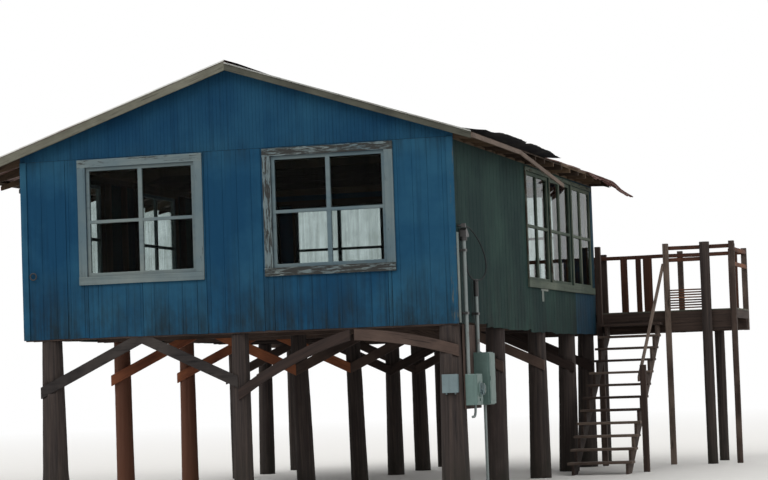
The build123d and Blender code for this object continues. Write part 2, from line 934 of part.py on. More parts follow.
# Corrugated sheets, made square to the slope and run down it
def sheet_outline(ribs, pitch, start):
    """The ribbed section of one sheet, with its foot on the purlins."""
    over = []
    for i in range(ribs):
        x = start + i * pitch
        over += [
            (x, sheet_thick),
            (x + pitch * rib_foot, sheet_thick),
            (x + pitch * rib_shoulder, sheet_thick + sheet_rib),
            (x + pitch * rib_fall, sheet_thick + sheet_rib),
        ]
    over.append((start + ribs * pitch, sheet_thick))
    under = [(x, z - sheet_thick) for x, z in reversed(over)]
    with BuildLine() as edge:
        Polyline(*over, *under, close=True)
    make_face(edge.edges())


def slope_plane(side):
    """A plane square to a slope at the ridge, with z down the slope and y away from the roof."""
    down = (side * roof_cos, 0, -math.sin(math.radians(roof_angle)))
    x, z = slope_point(side, ridge_inset, purlin_top)
    return Plane(origin=(x, 0, z), x_dir=(0, side, 0), z_dir=down)


def lay_sheet(side, y_low, width, overhang):
    """One sheet between y_low and y_low + width, down to its overhang."""
    pitch = (width - panel_gap) / sheet_ribs
    start = y_low if side > 0 else -(y_low + width - panel_gap)
    with BuildSketch(slope_plane(side)) as flat:
        sheet_outline(sheet_ribs, pitch, start)
    extrude(flat.sketch, amount=(ridge_inset + overhang) / roof_cos)


left_sheet_width = (y_roof1 - y_roof0) / left_sheet_count
with BuildPart() as roof_sheets_left:
    for i in range(left_sheet_count):
        lay_sheet(-1, y_roof0 + i * left_sheet_width, left_sheet_width, left_overhang + sheet_drip)

right_sheet_width = (y_roof1 - roofing_end_y) / (len(right_sheet_overhangs) + len(bent_tips))
with BuildPart() as roof_sheets_right:
    for i, overhang in enumerate(right_sheet_overhangs):
        lay_sheet(1, roofing_end_y + panel_gap + i * right_sheet_width, right_sheet_width, overhang)


# The rearmost sheets have come loose and bend down past the eave, each further than the one before
def bent_face(reach, drop):
    """A bent sheet's section, from the ridge over the eave to its tip."""
    lift = bent_sheet_thick
    ridge_at = slope_point(1, ridge_inset, purlin_top)
    eave_at = slope_point(1, -right_overhang, purlin_top)
    knee_at = (eave_at[0] + reach * bent_knee_run_share, eave_at[1] - drop * bent_knee_drop_share)
    tip_at = (eave_at[0] + reach, eave_at[1] - drop)
    with BuildLine() as edge:
        Line(ridge_at, eave_at)
        Spline(eave_at, knee_at, tip_at, tangents=((1, -roof_slope), (1, -bent_end_slope)))
        Line(tip_at, (tip_at[0], tip_at[1] + lift))
        Spline(
            (tip_at[0], tip_at[1] + lift),
            (knee_at[0], knee_at[1] + lift),
            (eave_at[0], eave_at[1] + lift),
            tangents=((-1, bent_end_slope), (-1, roof_slope)),
        )
        Line((eave_at[0], eave_at[1] + lift), (ridge_at[0], ridge_at[1] + lift))
        Line((ridge_at[0], ridge_at[1] + lift), ridge_at)
    make_face(edge.edges())


bent_y0 = roofing_end_y + panel_gap + len(right_sheet_overhangs) * right_sheet_width
with BuildPart() as bent_sheet:
    for i, (reach, drop) in enumerate(bent_tips):
        with BuildSketch(Plane.XZ.offset(-(bent_y0 + i * right_sheet_width))) as flat:
            bent_face(reach, drop)
        extrude(flat.sketch, amount=panel_gap - right_sheet_width)

with BuildPart() as ridge_cap:
    cap_low = purlin_top + (sheet_rib + sheet_thick + joint_gap) / roof_cos
    apex_z = rafter_top_at_ridge + cap_low
    drop = ridge_cap_half * roof_slope
    with BuildSketch(Plane.XZ.offset(-y_roof0)):
        with BuildLine():
            Polyline(
                (x_mid - ridge_cap_half, apex_z - drop),
                (x_mid, apex_z),
                (x_mid + ridge_cap_half, apex_z - drop),
                (x_mid + ridge_cap_half, apex_z - drop + sheet_thick),
                (x_mid, apex_z + sheet_thick),
                (x_mid - ridge_cap_half, apex_z - drop + sheet_thick),
                close=True,
            )
        make_face()
    extrude(amount=y_roof0 - y_roof1)

# Rake boards under the roof's front and back edges
with BuildPart() as rake_boards:
    rake_peak = frame_half - joint_gap
    for y_low, right_top in ((y_roof0, board_top), (y_roof1 - rake_board_thick, purlin_top)):
        y_high = y_low + rake_board_thick
        slope_slab(-1, -left_overhang, rake_peak, -rake_drop, purlin_top, y_low, y_high)
        slope_slab(1, -right_overhang, rake_peak, -rake_drop, right_top, y_low, y_high)

# Right eave: a sound fascia at the front, and a length behind it that hangs down
fascia_x = x_mid + frame_half + right_overhang
fascia_top_z = rafter_top_at_wall - right_overhang * roof_slope
with BuildPart() as eave_boards:
    block(
        (fascia_x, y_roof0, fascia_top_z - fascia_depth),
        (fascia_x + fascia_thick, fascia_break_y, fascia_top_z),
    )
    with BuildSketch(Plane.YZ.offset(fascia_x)):
        with BuildLine():
            Polyline(
                (fascia_break_y + panel_gap, fascia_top_z - fascia_depth),
                (loose_end_y, fascia_top_z - fascia_depth - loose_drop),
                (loose_end_y, fascia_top_z - loose_drop),
                (fascia_break_y + panel_gap, fascia_top_z),
                close=True,
            )
        make_face()
    extrude(amount=fascia_thick)

# Rear deck: joists between two rims, on a rear girder and an arm girder
with BuildPart() as deck_frame:
    block((deck_x0, deck_y0, deck_joist_bottom_z), (deck_x1, deck_y0 + joist_thick, deck_joist_top_z))
    block((deck_x0, deck_y1 - joist_thick, deck_joist_bottom_z), (deck_x1, deck_y1, deck_joist_top_z))
    deck_joist_count = round((deck_x1 - deck_x0) / joist_spacing) + 1
    deck_joist_pitch = (deck_x1 - deck_x0 - joist_thick) / (deck_joist_count - 1)
    for i in range(deck_joist_count):
        joist_x = deck_x0 + i * deck_joist_pitch
        block(
            (joist_x, deck_y0 + joist_thick + joint_gap, deck_joist_bottom_z),
            (joist_x + joist_thick, deck_y1 - joist_thick - joint_gap, deck_joist_top_z),
        )

deck_girder_bottom_z = deck_joist_bottom_z - girder_depth
with BuildPart() as deck_girders:
    for side in (-1, 1):
        face_y = deck_row_y + side * (deck_girder_half + girder_thick / 2)
        block(
            (deck_x0, face_y - girder_thick / 2, deck_girder_bottom_z),
            (deck_x1, face_y + girder_thick / 2, deck_joist_bottom_z),
        )
    block(
        (x_right + deck_post_inset, deck_y0, deck_girder_bottom_z),
        (deck_x1, deck_y0 + girder_thick, deck_joist_bottom_z),
    )

deck_board_count = round(deck_depth / (deck_board_width + deck_board_gap))
deck_board_pitch = deck_depth / deck_board_count
with BuildPart() as deck_boards:
    for i in range(deck_board_count):
        board_y = deck_y0 + i * deck_board_pitch
        block(
            (deck_x0, board_y + deck_board_gap, deck_joist_top_z),
            (deck_x1, board_y + deck_board_pitch, deck_top_z),
        )

# Deck posts: logs under the rear girder, three posts and a log before the arm that carry the rails too
rail_top_z = deck_top_z + rail_height
back_rail_top_z = deck_top_z + back_rail_height
second_rail_top_z = deck_top_z + second_rail_height
arm_posts_x = [
    x_right + deck_post_inset,
    x_right + arm_post_offsets[0],
    deck_x1 - deck_post_size,
]
arm_log_x = x_right + arm_post_offsets[1] + deck_post_size / 2
rear_rail_posts_x = [
    deck_x0,
    x_mid,
    x_right - corner_inset,
    x_right + arm_post_offsets[0],
    deck_x1 - deck_post_size,
]

with BuildPart() as deck_posts:
    for log_x in post_columns_x + [arm_log_x]:
        with BuildSketch(Plane.XY):
            with Locations((log_x, deck_row_y)):
                Circle(deck_log_radius)
        extrude(amount=deck_joist_bottom_z)
    for side in (-1, 1):
        flat_y = deck_row_y + side * (deck_girder_half + dap_reach / 2)
        with Locations(((deck_x0 + deck_x1) / 2, flat_y, (deck_girder_bottom_z + deck_joist_bottom_z) / 2)):
            Box(deck_x1 - deck_x0 + dap_reach, dap_reach, girder_depth, mode=Mode.SUBTRACT)
    for post_x in arm_posts_x:
        block(
            (post_x, deck_y0 - deck_post_size, 0),
            (post_x + deck_post_size, deck_y0, rail_top_z + post_rise),
        )
    with BuildSketch(Plane.XY):
        with Locations((arm_log_x, deck_y0 - deck_log_radius)):
            Circle(deck_log_radius)
    extrude(amount=rail_top_z + post_rise)
    for post_x in rear_rail_posts_x:
        block(
            (post_x, deck_y1, deck_girder_bottom_z),
            (post_x + deck_post_size, deck_y1 + deck_post_size, back_rail_top_z + post_rise),
        )

# Rails: one along the back, two at both ends and at the front of the arm past the stair
with BuildPart() as deck_rails:
    block((deck_x0, deck_y1 - rail_thick, back_rail_top_z - rail_depth), (deck_x1, deck_y1, back_rail_top_z))
    for top, front_end in ((rail_top_z, deck_x1), (second_rail_top_z, arm_log_x)):
        block((arm_posts_x[1], deck_y0, top - rail_depth), (front_end, deck_y0 + rail_thick, top))
    end_start_y = deck_y0 + rail_thick + joint_gap
    end_stop_y = deck_y1 - rail_thick - joint_gap
    end_low_top_z = second_rail_top_z - rail_depth - post_rise
    end_low_starts = ((deck_x0, deck_y0 + corner_board_thick), (deck_x1 - rail_thick, deck_y0))
    for end_x, low_start_y in end_low_starts:
        block(
            (end_x, end_start_y, back_rail_top_z - rail_depth),
            (end_x + rail_thick, end_stop_y, back_rail_top_z),
        )
        block((end_x, low_start_y, end_low_top_z - rail_depth), (end_x + rail_thick, deck_y1, end_low_top_z))

# Rail infill: upright boards of uneven width at the back, level slats at the arm's front
with BuildPart() as rail_boards:
    board_y0 = deck_y1 - rail_thick - picket_thick
    board_y1 = deck_y1 - rail_thick
    for offset, width, height in rail_boards_at:
        block(
            (x_right + offset, board_y0, deck_top_z + joint_gap),
            (x_right + offset + width, board_y1, deck_top_z + height),
        )
    picket_count = math.floor((house_width - deck_post_size) / picket_spacing)
    for i in range(picket_count):
        picket_x = deck_x0 + picket_spacing * (i + 0.5)
        block(
            (picket_x, board_y0, deck_top_z + joint_gap),
            (picket_x + picket_width, board_y1, deck_top_z + picket_height),
        )
    for i in range(slat_count):
        slat_z = deck_top_z + slat_rise + slat_spacing * i
        block(
            (arm_posts_x[1], deck_y0, slat_z),
            (arm_log_x, deck_y0 + slat_thick, slat_z + slat_depth),
        )

# Stair: two notched stringers and twelve treads
stair_rise = deck_top_z / stair_risers
stair_treads_count = stair_risers - 1
stair_x0 = x_right + stair_wall_gap
stair_x1 = stair_x0 + stair_width
stair_foot_y = deck_y0 - stair_treads_count * stair_going
stair_slope = stair_rise / stair_going

with BuildPart() as stair_stringers:
    outline = [(stair_foot_y, 0)]
    for i in range(1, stair_treads_count + 1):
        notch_z = i * stair_rise - tread_thick
        outline.append((stair_foot_y + (i - 1) * stair_going, notch_z))
        outline.append((stair_foot_y + i * stair_going, notch_z))
    outline.append((deck_y0, stair_treads_count * stair_rise - tread_thick - stringer_throat))
    outline.append((stair_foot_y + (tread_thick + stringer_throat) / stair_slope, 0))
    for string_x in (stair_x0 + stringer_inset, stair_x1 - stringer_inset - stringer_thick):
        with BuildSketch(Plane.YZ.offset(string_x)):
            with BuildLine():
                Polyline(*outline, close=True)
            make_face()
        extrude(amount=stringer_thick)

with BuildPart() as stair_treads:
    for i in range(1, stair_treads_count + 1):
        tread_y = stair_foot_y + (i - 1) * stair_going
        block(
            (stair_x0, tread_y - tread_nosing, i * stair_rise - tread_thick),
            (stair_x1, tread_y + stair_going - panel_gap, i * stair_rise),
        )

# Handrail on the stair's open side, between a newel at the foot and the deck's post
with BuildPart() as stair_handrail:
    newel_x = arm_posts_x[1]
    newel_y = stair_foot_y + newel_setback
    handrail_x = newel_x - rail_thick - joint_gap
    handrail_run = deck_y0 - newel_y
    handrail_foot_z = handrail_height + stair_slope * newel_setback
    handrail_end_z = handrail_foot_z + stair_slope * handrail_run
    handrail_edge = rail_depth / math.cos(math.atan(stair_slope))
    block((newel_x, newel_y, 0), (newel_x + deck_post_size, newel_y + deck_post_size, newel_height))
    with BuildSketch(Plane.YZ.offset(handrail_x)):
        with BuildLine():
            Polyline(
                (newel_y, handrail_foot_z),
                (deck_y0, handrail_end_z),
                (deck_y0, handrail_end_z + handrail_edge),
                (newel_y, handrail_foot_z + handrail_edge),
                close=True,
            )
        make_face()
    extrude(amount=rail_thick)

# Electrical service: a board on the corner post, a meter box, a taller panel and their pipes
with BuildPart() as service_board:
    block(
        (service_board_x, service_board_y0, service_board_bottom_z),
        (service_board_x + service_board_thick, service_board_y1, girder_bottom_z),
    )

service_face_x = service_board_x + service_board_thick

with BuildPart() as meter_box:
    block(
        (service_face_x, meter_y0, meter_bottom_z),
        (service_face_x + meter_depth, meter_y0 + meter_width, meter_top_z),
    )
    meter_centre_y = meter_y0 + meter_width / 2
    meter_centre_z = (meter_bottom_z + meter_top_z) / 2
    with BuildSketch(Plane.YZ.offset(service_face_x + meter_depth)):
        with Locations((meter_centre_y, meter_centre_z)):
            Circle(meter_dial_radius)
    extrude(amount=meter_dial_depth)
    fillet(faces().sort_by(Axis.X)[-1].edges(), radius=meter_dial_depth / 3)

with BuildPart() as panel_box:
    block(
        (service_face_x, panel_y0, panel_bottom_z),
        (service_face_x + panel_depth, panel_y0 + panel_width, panel_top_z),
    )
    cover_x = service_face_x + panel_depth
    cover_y1 = panel_y0 + panel_width - cover_inset
    block(
        (cover_x, panel_y0 + cover_inset, panel_bottom_z + cover_inset),
        (cover_x + cover_depth, cover_y1, panel_top_z - cover_inset),
    )

with BuildPart() as junction_box:
    block(
        (junction_x0, junction_face_y - junction_depth, junction_bottom_z),
        (junction_x0 + junction_width, junction_face_y, junction_top_z),
    )

conduit_x = x_right + conduit_radius + conduit_wall_gap
with BuildPart() as conduits:
    for pipe_y, low_z, high_z in (
        (first_pipe_y, meter_top_z, first_pipe_top_z),
        (second_pipe_y, panel_top_z, second_pipe_top_z),
    ):
        with BuildSketch(Plane.XY.offset(low_z)):
            with Locations((conduit_x, pipe_y)):
                Circle(conduit_radius)
        extrude(amount=high_z - low_z)
    with BuildSketch(Plane.XY):
        with Locations((conduit_x + ground_pipe_out, ground_pipe_y)):
            Circle(ground_pipe_radius)
    extrude(amount=panel_bottom_z)
    elbow_x = service_face_x + meter_depth / 2
    elbow_low_z = meter_bottom_z - elbow_stub
    with BuildLine() as elbow_path:
        Line((elbow_x, elbow_y, meter_bottom_z), (elbow_x, elbow_y, elbow_low_z))
        ThreePointArc(
            (elbow_x, elbow_y, elbow_low_z),
            (
                elbow_x,
                elbow_y - elbow_bend * (1 - math.cos(math.pi / 4)),
                elbow_low_z - elbow_bend * math.sin(math.pi / 4),
            ),
            (elbow_x, elbow_y - elbow_bend, elbow_low_z - elbow_bend),
        )
        Line(
            (elbow_x, elbow_y - elbow_bend, elbow_low_z - elbow_bend),
            (elbow_x, elbow_y - elbow_bend - elbow_reach, elbow_low_z - elbow_bend),
        )
    with BuildSketch(Plane(origin=(elbow_x, elbow_y, meter_bottom_z), z_dir=(0, 0, -1))):
        Circle(elbow_radius)
    sweep(path=elbow_path.wires()[0])

# Pipe fittings: a sleeve on the second pipe, straps from the siding to the pipes and a wire holder
with BuildPart() as pipe_fittings:
    with BuildSketch(Plane.XY.offset(second_pipe_top_z)):
        with Locations((conduit_x, second_pipe_y)):
            Circle(sleeve_radius)
    extrude(amount=sleeve_length)
    fillet(faces().sort_by(Axis.Z)[-1].edges(), radius=sleeve_radius / 3)
    for pipe_y, levels in ((first_pipe_y, first_strap_levels), (second_pipe_y, second_strap_levels)):
        for level in levels:
            block(
                (x_right, pipe_y - strap_half, level),
                (conduit_x + conduit_radius + strap_thick, pipe_y + strap_half, level + strap_height),
            )
            with BuildSketch(Plane.XY.offset(level)):
                with Locations((conduit_x, pipe_y)):
                    Circle(conduit_radius)
            extrude(amount=strap_height, mode=Mode.SUBTRACT)
    with BuildSketch(Plane.YZ.offset(x_right)):
        with Locations((holder_y, holder_z)):
            Circle(holder_radius)
    extrude(amount=holder_length)
    with Locations((x_right + holder_length + holder_clamp / 2, holder_y, holder_z)):
        Box(holder_clamp, holder_clamp, holder_clamp)
    fillet(edges().filter_by(Axis.Z).group_by(Axis.X)[-1], radius=holder_clamp / 5)
    ring_centre_y = -ring_stud_length - ring_wire_radius
    with BuildSketch(front_plane):
        with Locations((ring_u, ring_z + ring_radius)):
            Circle(ring_wire_radius)
    extrude(amount=ring_stud_length)
    with Locations(Location((x_left + ring_u, y_front + ring_centre_y, ring_z), (90, 0, 0))):
        Torus(ring_radius, ring_wire_radius)

# Weatherhead: a hooded elbow that turns down and forward at the top of the first pipe
with BuildPart() as weatherhead:
    with BuildSketch(Plane.XY.offset(first_pipe_top_z)):
        with Locations((conduit_x, first_pipe_y)):
            Circle(hood_radius)
    extrude(amount=hood_collar)
    with BuildSketch(Plane.YZ.offset(conduit_x - hood_radius)):
        with BuildLine():
            hood_base_z = first_pipe_top_z + hood_collar
            Polyline(
                (first_pipe_y - hood_radius, hood_base_z),
                (first_pipe_y + hood_reach, hood_base_z),
                (first_pipe_y + hood_reach + hood_lip, hood_base_z + hood_lip),
                (first_pipe_y, hood_base_z + hood_height),
                (first_pipe_y - hood_radius, hood_base_z + hood_shoulder),
                close=True,
            )
        make_face()
    extrude(amount=2 * hood_radius)

# Service loop: straight runs joined by arcs as large as the runs allow
loop_start = (x_right + holder_length + holder_clamp / 2, holder_y + holder_clamp / 2, holder_z)
loop_second = (loop_start[0], loop_start[1] + loop_exit, holder_z)
loop_end = (loop_route[-1][0], loop_route[-1][1], hood_base_z)
loop_points = [Vector(*p) for p in [loop_start, loop_second] + loop_route + [loop_end]]
loop_arcs = []
for before, corner, after in zip(loop_points, loop_points[1:], loop_points[2:]):
    run_in = corner - before
    run_out = after - corner
    turn = math.radians(run_in.get_angle(run_out))
    loop_arcs.append(loop_arc_share * min(run_in.length, run_out.length) / math.tan(turn / 2))
print("loop radii:", [round(r) for r in loop_arcs])

with BuildPart() as service_loop:
    with BuildLine() as loop_path:
        FilletPolyline(*loop_points, radius=loop_arcs)
    with BuildSketch(Plane(origin=loop_points[0], z_dir=loop_points[1] - loop_points[0])):
        Circle(loop_radius)
    sweep(path=loop_path.wires()[0])
loop_length = loop_path.wires()[0].length
loop_volume = math.pi * loop_radius**2 * loop_length
print("loop length:", round(loop_length), "volume share:", round(service_loop.part.volume / loop_volume, 4))

house_posts.part.label = "house_posts"
export_step(house_posts.part, "parts/house_posts.step")
girders.part.label = "girders"
export_step(girders.part, "parts/girders.step")
knee_braces.part.label = "knee_braces"
export_step(knee_braces.part, "parts/knee_braces.step")
floor_joists.part.label = "floor_joists"
export_step(floor_joists.part, "parts/floor_joists.step")
floor.part.label = "floor"
export_step(floor.part, "parts/floor.step")
wall_plates.part.label = "wall_plates"
export_step(wall_plates.part, "parts/wall_plates.step")
wall_studs.part.label = "wall_studs"
export_step(wall_studs.part, "parts/wall_studs.step")
window_headers.part.label = "window_headers"
export_step(window_headers.part, "parts/window_headers.step")
siding_front.part.label = "siding_front"
export_step(siding_front.part, "parts/siding_front.step")
siding_right.part.label = "siding_right"
export_step(siding_right.part, "parts/siding_right.step")
siding_left.part.label = "siding_left"
export_step(siding_left.part, "parts/siding_left.step")
siding_back.part.label = "siding_back"
export_step(siding_back.part, "parts/siding_back.step")
gable_siding.part.label = "gable_siding"
export_step(gable_siding.part, "parts/gable_siding.step")
corner_boards.part.label = "corner_boards"
export_step(corner_boards.part, "parts/corner_boards.step")
window_casings.part.label = "window_casings"
export_step(window_casings.part, "parts/window_casings.step")
window_sashes.part.label = "window_sashes"
export_step(window_sashes.part, "parts/window_sashes.step")
window_glass.part.label = "window_glass"
export_step(window_glass.part, "parts/window_glass.step")
entrance_door.part.label = "entrance_door"
export_step(entrance_door.part, "parts/entrance_door.step")
rafters.part.label = "rafters"
export_step(rafters.part, "parts/rafters.step")
ridge_board.part.label = "ridge_board"
export_step(ridge_board.part, "parts/ridge_board.step")
ceiling_ties.part.label = "ceiling_ties"
export_step(ceiling_ties.part, "parts/ceiling_ties.step")
purlins.part.label = "purlins"
export_step(purlins.part, "parts/purlins.step")
roof_boards.part.label = "roof_boards"
export_step(roof_boards.part, "parts/roof_boards.step")
roofing_felt.part.label = "roofing_felt"
export_step(roofing_felt.part, "parts/roofing_felt.step")
felt_flap.part.label = "felt_flap"
export_step(felt_flap.part, "parts/felt_flap.step")
roof_sheets_left.part.label = "roof_sheets_left"
export_step(roof_sheets_left.part, "parts/roof_sheets_left.step")
roof_sheets_right.part.label = "roof_sheets_right"
export_step(roof_sheets_right.part, "parts/roof_sheets_right.step")
bent_sheet.part.label = "bent_sheet"
export_step(bent_sheet.part, "parts/bent_sheet.step")
ridge_cap.part.label = "ridge_cap"
export_step(ridge_cap.part, "parts/ridge_cap.step")
rake_boards.part.label = "rake_boards"
export_step(rake_boards.part, "parts/rake_boards.step")
eave_boards.part.label = "eave_boards"
export_step(eave_boards.part, "parts/eave_boards.step")
deck_frame.part.label = "deck_frame"
export_step(deck_frame.part, "parts/deck_frame.step")
deck_girders.part.label = "deck_girders"
export_step(deck_girders.part, "parts/deck_girders.step")
deck_boards.part.label = "deck_boards"
export_step(deck_boards.part, "parts/deck_boards.step")
deck_posts.part.label = "deck_posts"
export_step(deck_posts.part, "parts/deck_posts.step")
deck_rails.part.label = "deck_rails"
export_step(deck_rails.part, "parts/deck_rails.step")
rail_boards.part.label = "rail_boards"
export_step(rail_boards.part, "parts/rail_boards.step")
stair_stringers.part.label = "stair_stringers"
export_step(stair_stringers.part, "parts/stair_stringers.step")
stair_treads.part.label = "stair_treads"
export_step(stair_treads.part, "parts/stair_treads.step")
stair_handrail.part.label = "stair_handrail"
export_step(stair_handrail.part, "parts/stair_handrail.step")
service_board.part.label = "service_board"
export_step(service_board.part, "parts/service_board.step")
meter_box.part.label = "meter_box"
export_step(meter_box.part, "parts/meter_box.step")
panel_box.part.label = "panel_box"
export_step(panel_box.part, "parts/panel_box.step")
junction_box.part.label = "junction_box"
export_step(junction_box.part, "parts/junction_box.step")
conduits.part.label = "conduits"
export_step(conduits.part, "parts/conduits.step")
pipe_fittings.part.label = "pipe_fittings"
export_step(pipe_fittings.part, "parts/pipe_fittings.step")
weatherhead.part.label = "weatherhead"
export_step(weatherhead.part, "parts/weatherhead.step")
service_loop.part.label = "service_loop"
export_step(service_loop.part, "parts/service_loop.step")
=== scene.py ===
import math
import random

import bmesh
import bpy
import numpy as np
from mathutils import Matrix, Vector, noise
from mathutils.bvhtree import BVHTree


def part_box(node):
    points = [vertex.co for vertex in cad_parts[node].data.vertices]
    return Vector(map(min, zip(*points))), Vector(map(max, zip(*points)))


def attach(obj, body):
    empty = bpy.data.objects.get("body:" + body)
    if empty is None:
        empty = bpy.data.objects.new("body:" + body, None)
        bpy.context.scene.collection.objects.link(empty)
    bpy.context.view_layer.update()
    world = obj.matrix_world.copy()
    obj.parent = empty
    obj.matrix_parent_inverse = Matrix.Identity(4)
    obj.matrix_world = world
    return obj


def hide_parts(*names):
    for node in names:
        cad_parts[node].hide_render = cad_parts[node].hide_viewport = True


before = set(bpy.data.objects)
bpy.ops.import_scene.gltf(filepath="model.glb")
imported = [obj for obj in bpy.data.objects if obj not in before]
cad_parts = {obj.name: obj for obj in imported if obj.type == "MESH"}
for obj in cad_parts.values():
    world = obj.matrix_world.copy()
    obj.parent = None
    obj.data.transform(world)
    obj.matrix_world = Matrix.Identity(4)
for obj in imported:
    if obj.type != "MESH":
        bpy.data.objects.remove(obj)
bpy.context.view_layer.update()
noise.seed_set(7)  # noise_vector takes its offsets from the clock otherwise

# Places in metres, as the solids have them
FRONT_Y = -0.155
RIGHT_X = 0.155
LEFT_X = -5.99
BACK_Y = 8.989
MIDDLE_X = (LEFT_X + RIGHT_X) / 2
SERVICE_FLAT_FOOT = 1.14
GIRDER_BOTTOM = 2.236
FRONT_FOOT = 2.25
SIDE_FOOT = 2.2
SIDE_TOP = 4.66
PLATE_TOP = 4.69
ABOVE_ALL = 9.0
ROOF_SLOPE = 1 / 3


def rgb(red, green, blue):
    """A screen colour from 0 to 255 as the linear colour that shaders take."""
    shares = (c / 255 for c in (red, green, blue))
    return tuple(c / 12.92 if c <= 0.04045 else ((c + 0.055) / 1.055) ** 2.4 for c in shares)


def dim(colour, share):
    """A share of a colour."""
    return tuple(c * share for c in colour)


class Shader:
    """A material and short calls that add its nodes."""

    def __init__(self, name, **values):
        self.material = bpy.data.materials.new(name)
        self.material.use_nodes = True
        self.tree = self.material.node_tree
        self.surface = self.tree.nodes["Principled BSDF"]
        for key, value in values.items():
            self.surface.inputs[key.replace("_", " ")].default_value = value
        self.place = self.add("TexCoord").outputs["Object"]
        self.grain = self.add("Attribute", attribute_name="grain").outputs["Vector"]
        self.tint = self.add("Attribute", attribute_name="tint").outputs["Fac"]
        self.bare = self.add("Attribute", attribute_name="bare").outputs["Fac"]

    def add(self, kind, inputs=(), **settings):
        node = self.tree.nodes.new("ShaderNode" + kind)
        for key, value in settings.items():
            setattr(node, key, value)
        for key, value in dict(inputs).items():
            self.put(node.inputs[key], value)
        return node

    def put(self, socket, value):
        if isinstance(value, bpy.types.NodeSocket):
            self.tree.links.new(value, socket)
        elif isinstance(value, tuple) and socket.type == "RGBA":
            socket.default_value = (*value[:3], 1)
        else:
            socket.default_value = value

    def stretch(self, where, scale):
        """A place scaled by a number for each direction."""
        return self.add("Mapping", {"Vector": where, "Scale": scale}).outputs[0]

    def noise(self, where, scale, detail, roughness, distortion=0.0):
        """A noise value; the scale, in waves per metre, is one number or one for each direction."""
        if isinstance(scale, tuple):
            where = self.stretch(where, scale)
            scale = 1.0
        settings = {
            "Vector": where,
            "Scale": scale,
            "Detail": detail,
            "Roughness": roughness,
            "Distortion": distortion,
        }
        return self.add("TexNoise", settings).outputs["Fac"]

    def ramp(self, value, low, high, start=0.0, end=1.0):
        """The value between low and high, spread from start to end."""
        settings = {
            "Value": value,
            "From Min": low,
            "From Max": high,
            "To Min": start,
            "To Max": end,
        }
        return self.add("MapRange", settings, clamp=True).outputs[0]

    def mix(self, factor, first, second):
        node = self.add("Mix", data_type="RGBA", blend_type="MIX")
        self.put(node.inputs[0], factor)
        self.put(node.inputs[6], first)
        self.put(node.inputs[7], second)
        return node.outputs[2]

    def math(self, operation, first, second):
        node = self.add("Math", operation=operation)
        self.put(node.inputs[0], first)
        self.put(node.inputs[1], second)
        return node.outputs[0]

    def plus(self, first, second):
        return self.math("ADD", first, second)

    def times(self, first, second):
        return self.math("MULTIPLY", first, second)

    def upward(self, vector):
        """A vector's part along Z."""
        return self.add("SeparateXYZ", {"Vector": vector}).outputs["Z"]

    def finish(self, colour, roughness=None, height=None, depth=0.0):
        """The material with its colour and, where given, its roughness and bump."""
        self.put(self.surface.inputs["Base Color"], colour)
        if roughness is not None:
            self.put(self.surface.inputs["Roughness"], roughness)
        if height is not None:
            bump = self.add("Bump", {"Height": height, "Strength": 1.0, "Distance": depth})
            self.put(self.surface.inputs["Normal"], bump.outputs[0])
        return self.material


def wood(name, pale, main, dark, cracks):
    """Bare weathered timber: streaks along the grain, fibre, drying cracks, knots and blotches."""
    s = Shader(name, Specular_IOR_Level=0.25)
    streaks = s.noise(s.grain, (1.1, 26.0, 26.0), 5, 0.62, 0.35)
    fibre = s.noise(s.grain, (9.0, 240.0, 240.0), 3, 0.6)
    blotch = s.noise(s.place, 1.7, 4, 0.6)
    colour = s.mix(s.ramp(streaks, 0.3, 0.72), dark, main)
    colour = s.mix(s.ramp(s.plus(blotch, s.times(s.tint, 0.35)), 0.42, 0.85), colour, pale)
    crack = s.ramp(s.noise(s.grain, (1.6, 70.0, 70.0), 2, 0.5, 0.8), 0.36, 0.31)
    colour = s.mix(s.times(crack, cracks), colour, dim(dark, 0.25))
    colour = s.mix(s.ramp(fibre, 0.35, 0.65, 0.0, 0.35), colour, dim(main, 0.55))
    knots = s.add("TexVoronoi", {"Vector": s.stretch(s.grain, (1.4, 7.0, 7.0)), "Scale": 1.0})
    knot = s.ramp(knots.outputs["Distance"], 0.16, 0.07)
    colour = s.mix(s.times(knot, 0.65), colour, dim(dark, 0.4))
    relief = s.plus(s.times(streaks, 0.6), s.times(fibre, 0.35))
    relief = s.math("SUBTRACT", relief, s.times(crack, cracks))
    return s.finish(colour, s.ramp(blotch, 0.2, 0.8, 0.77, 0.95), relief, 0.0035)


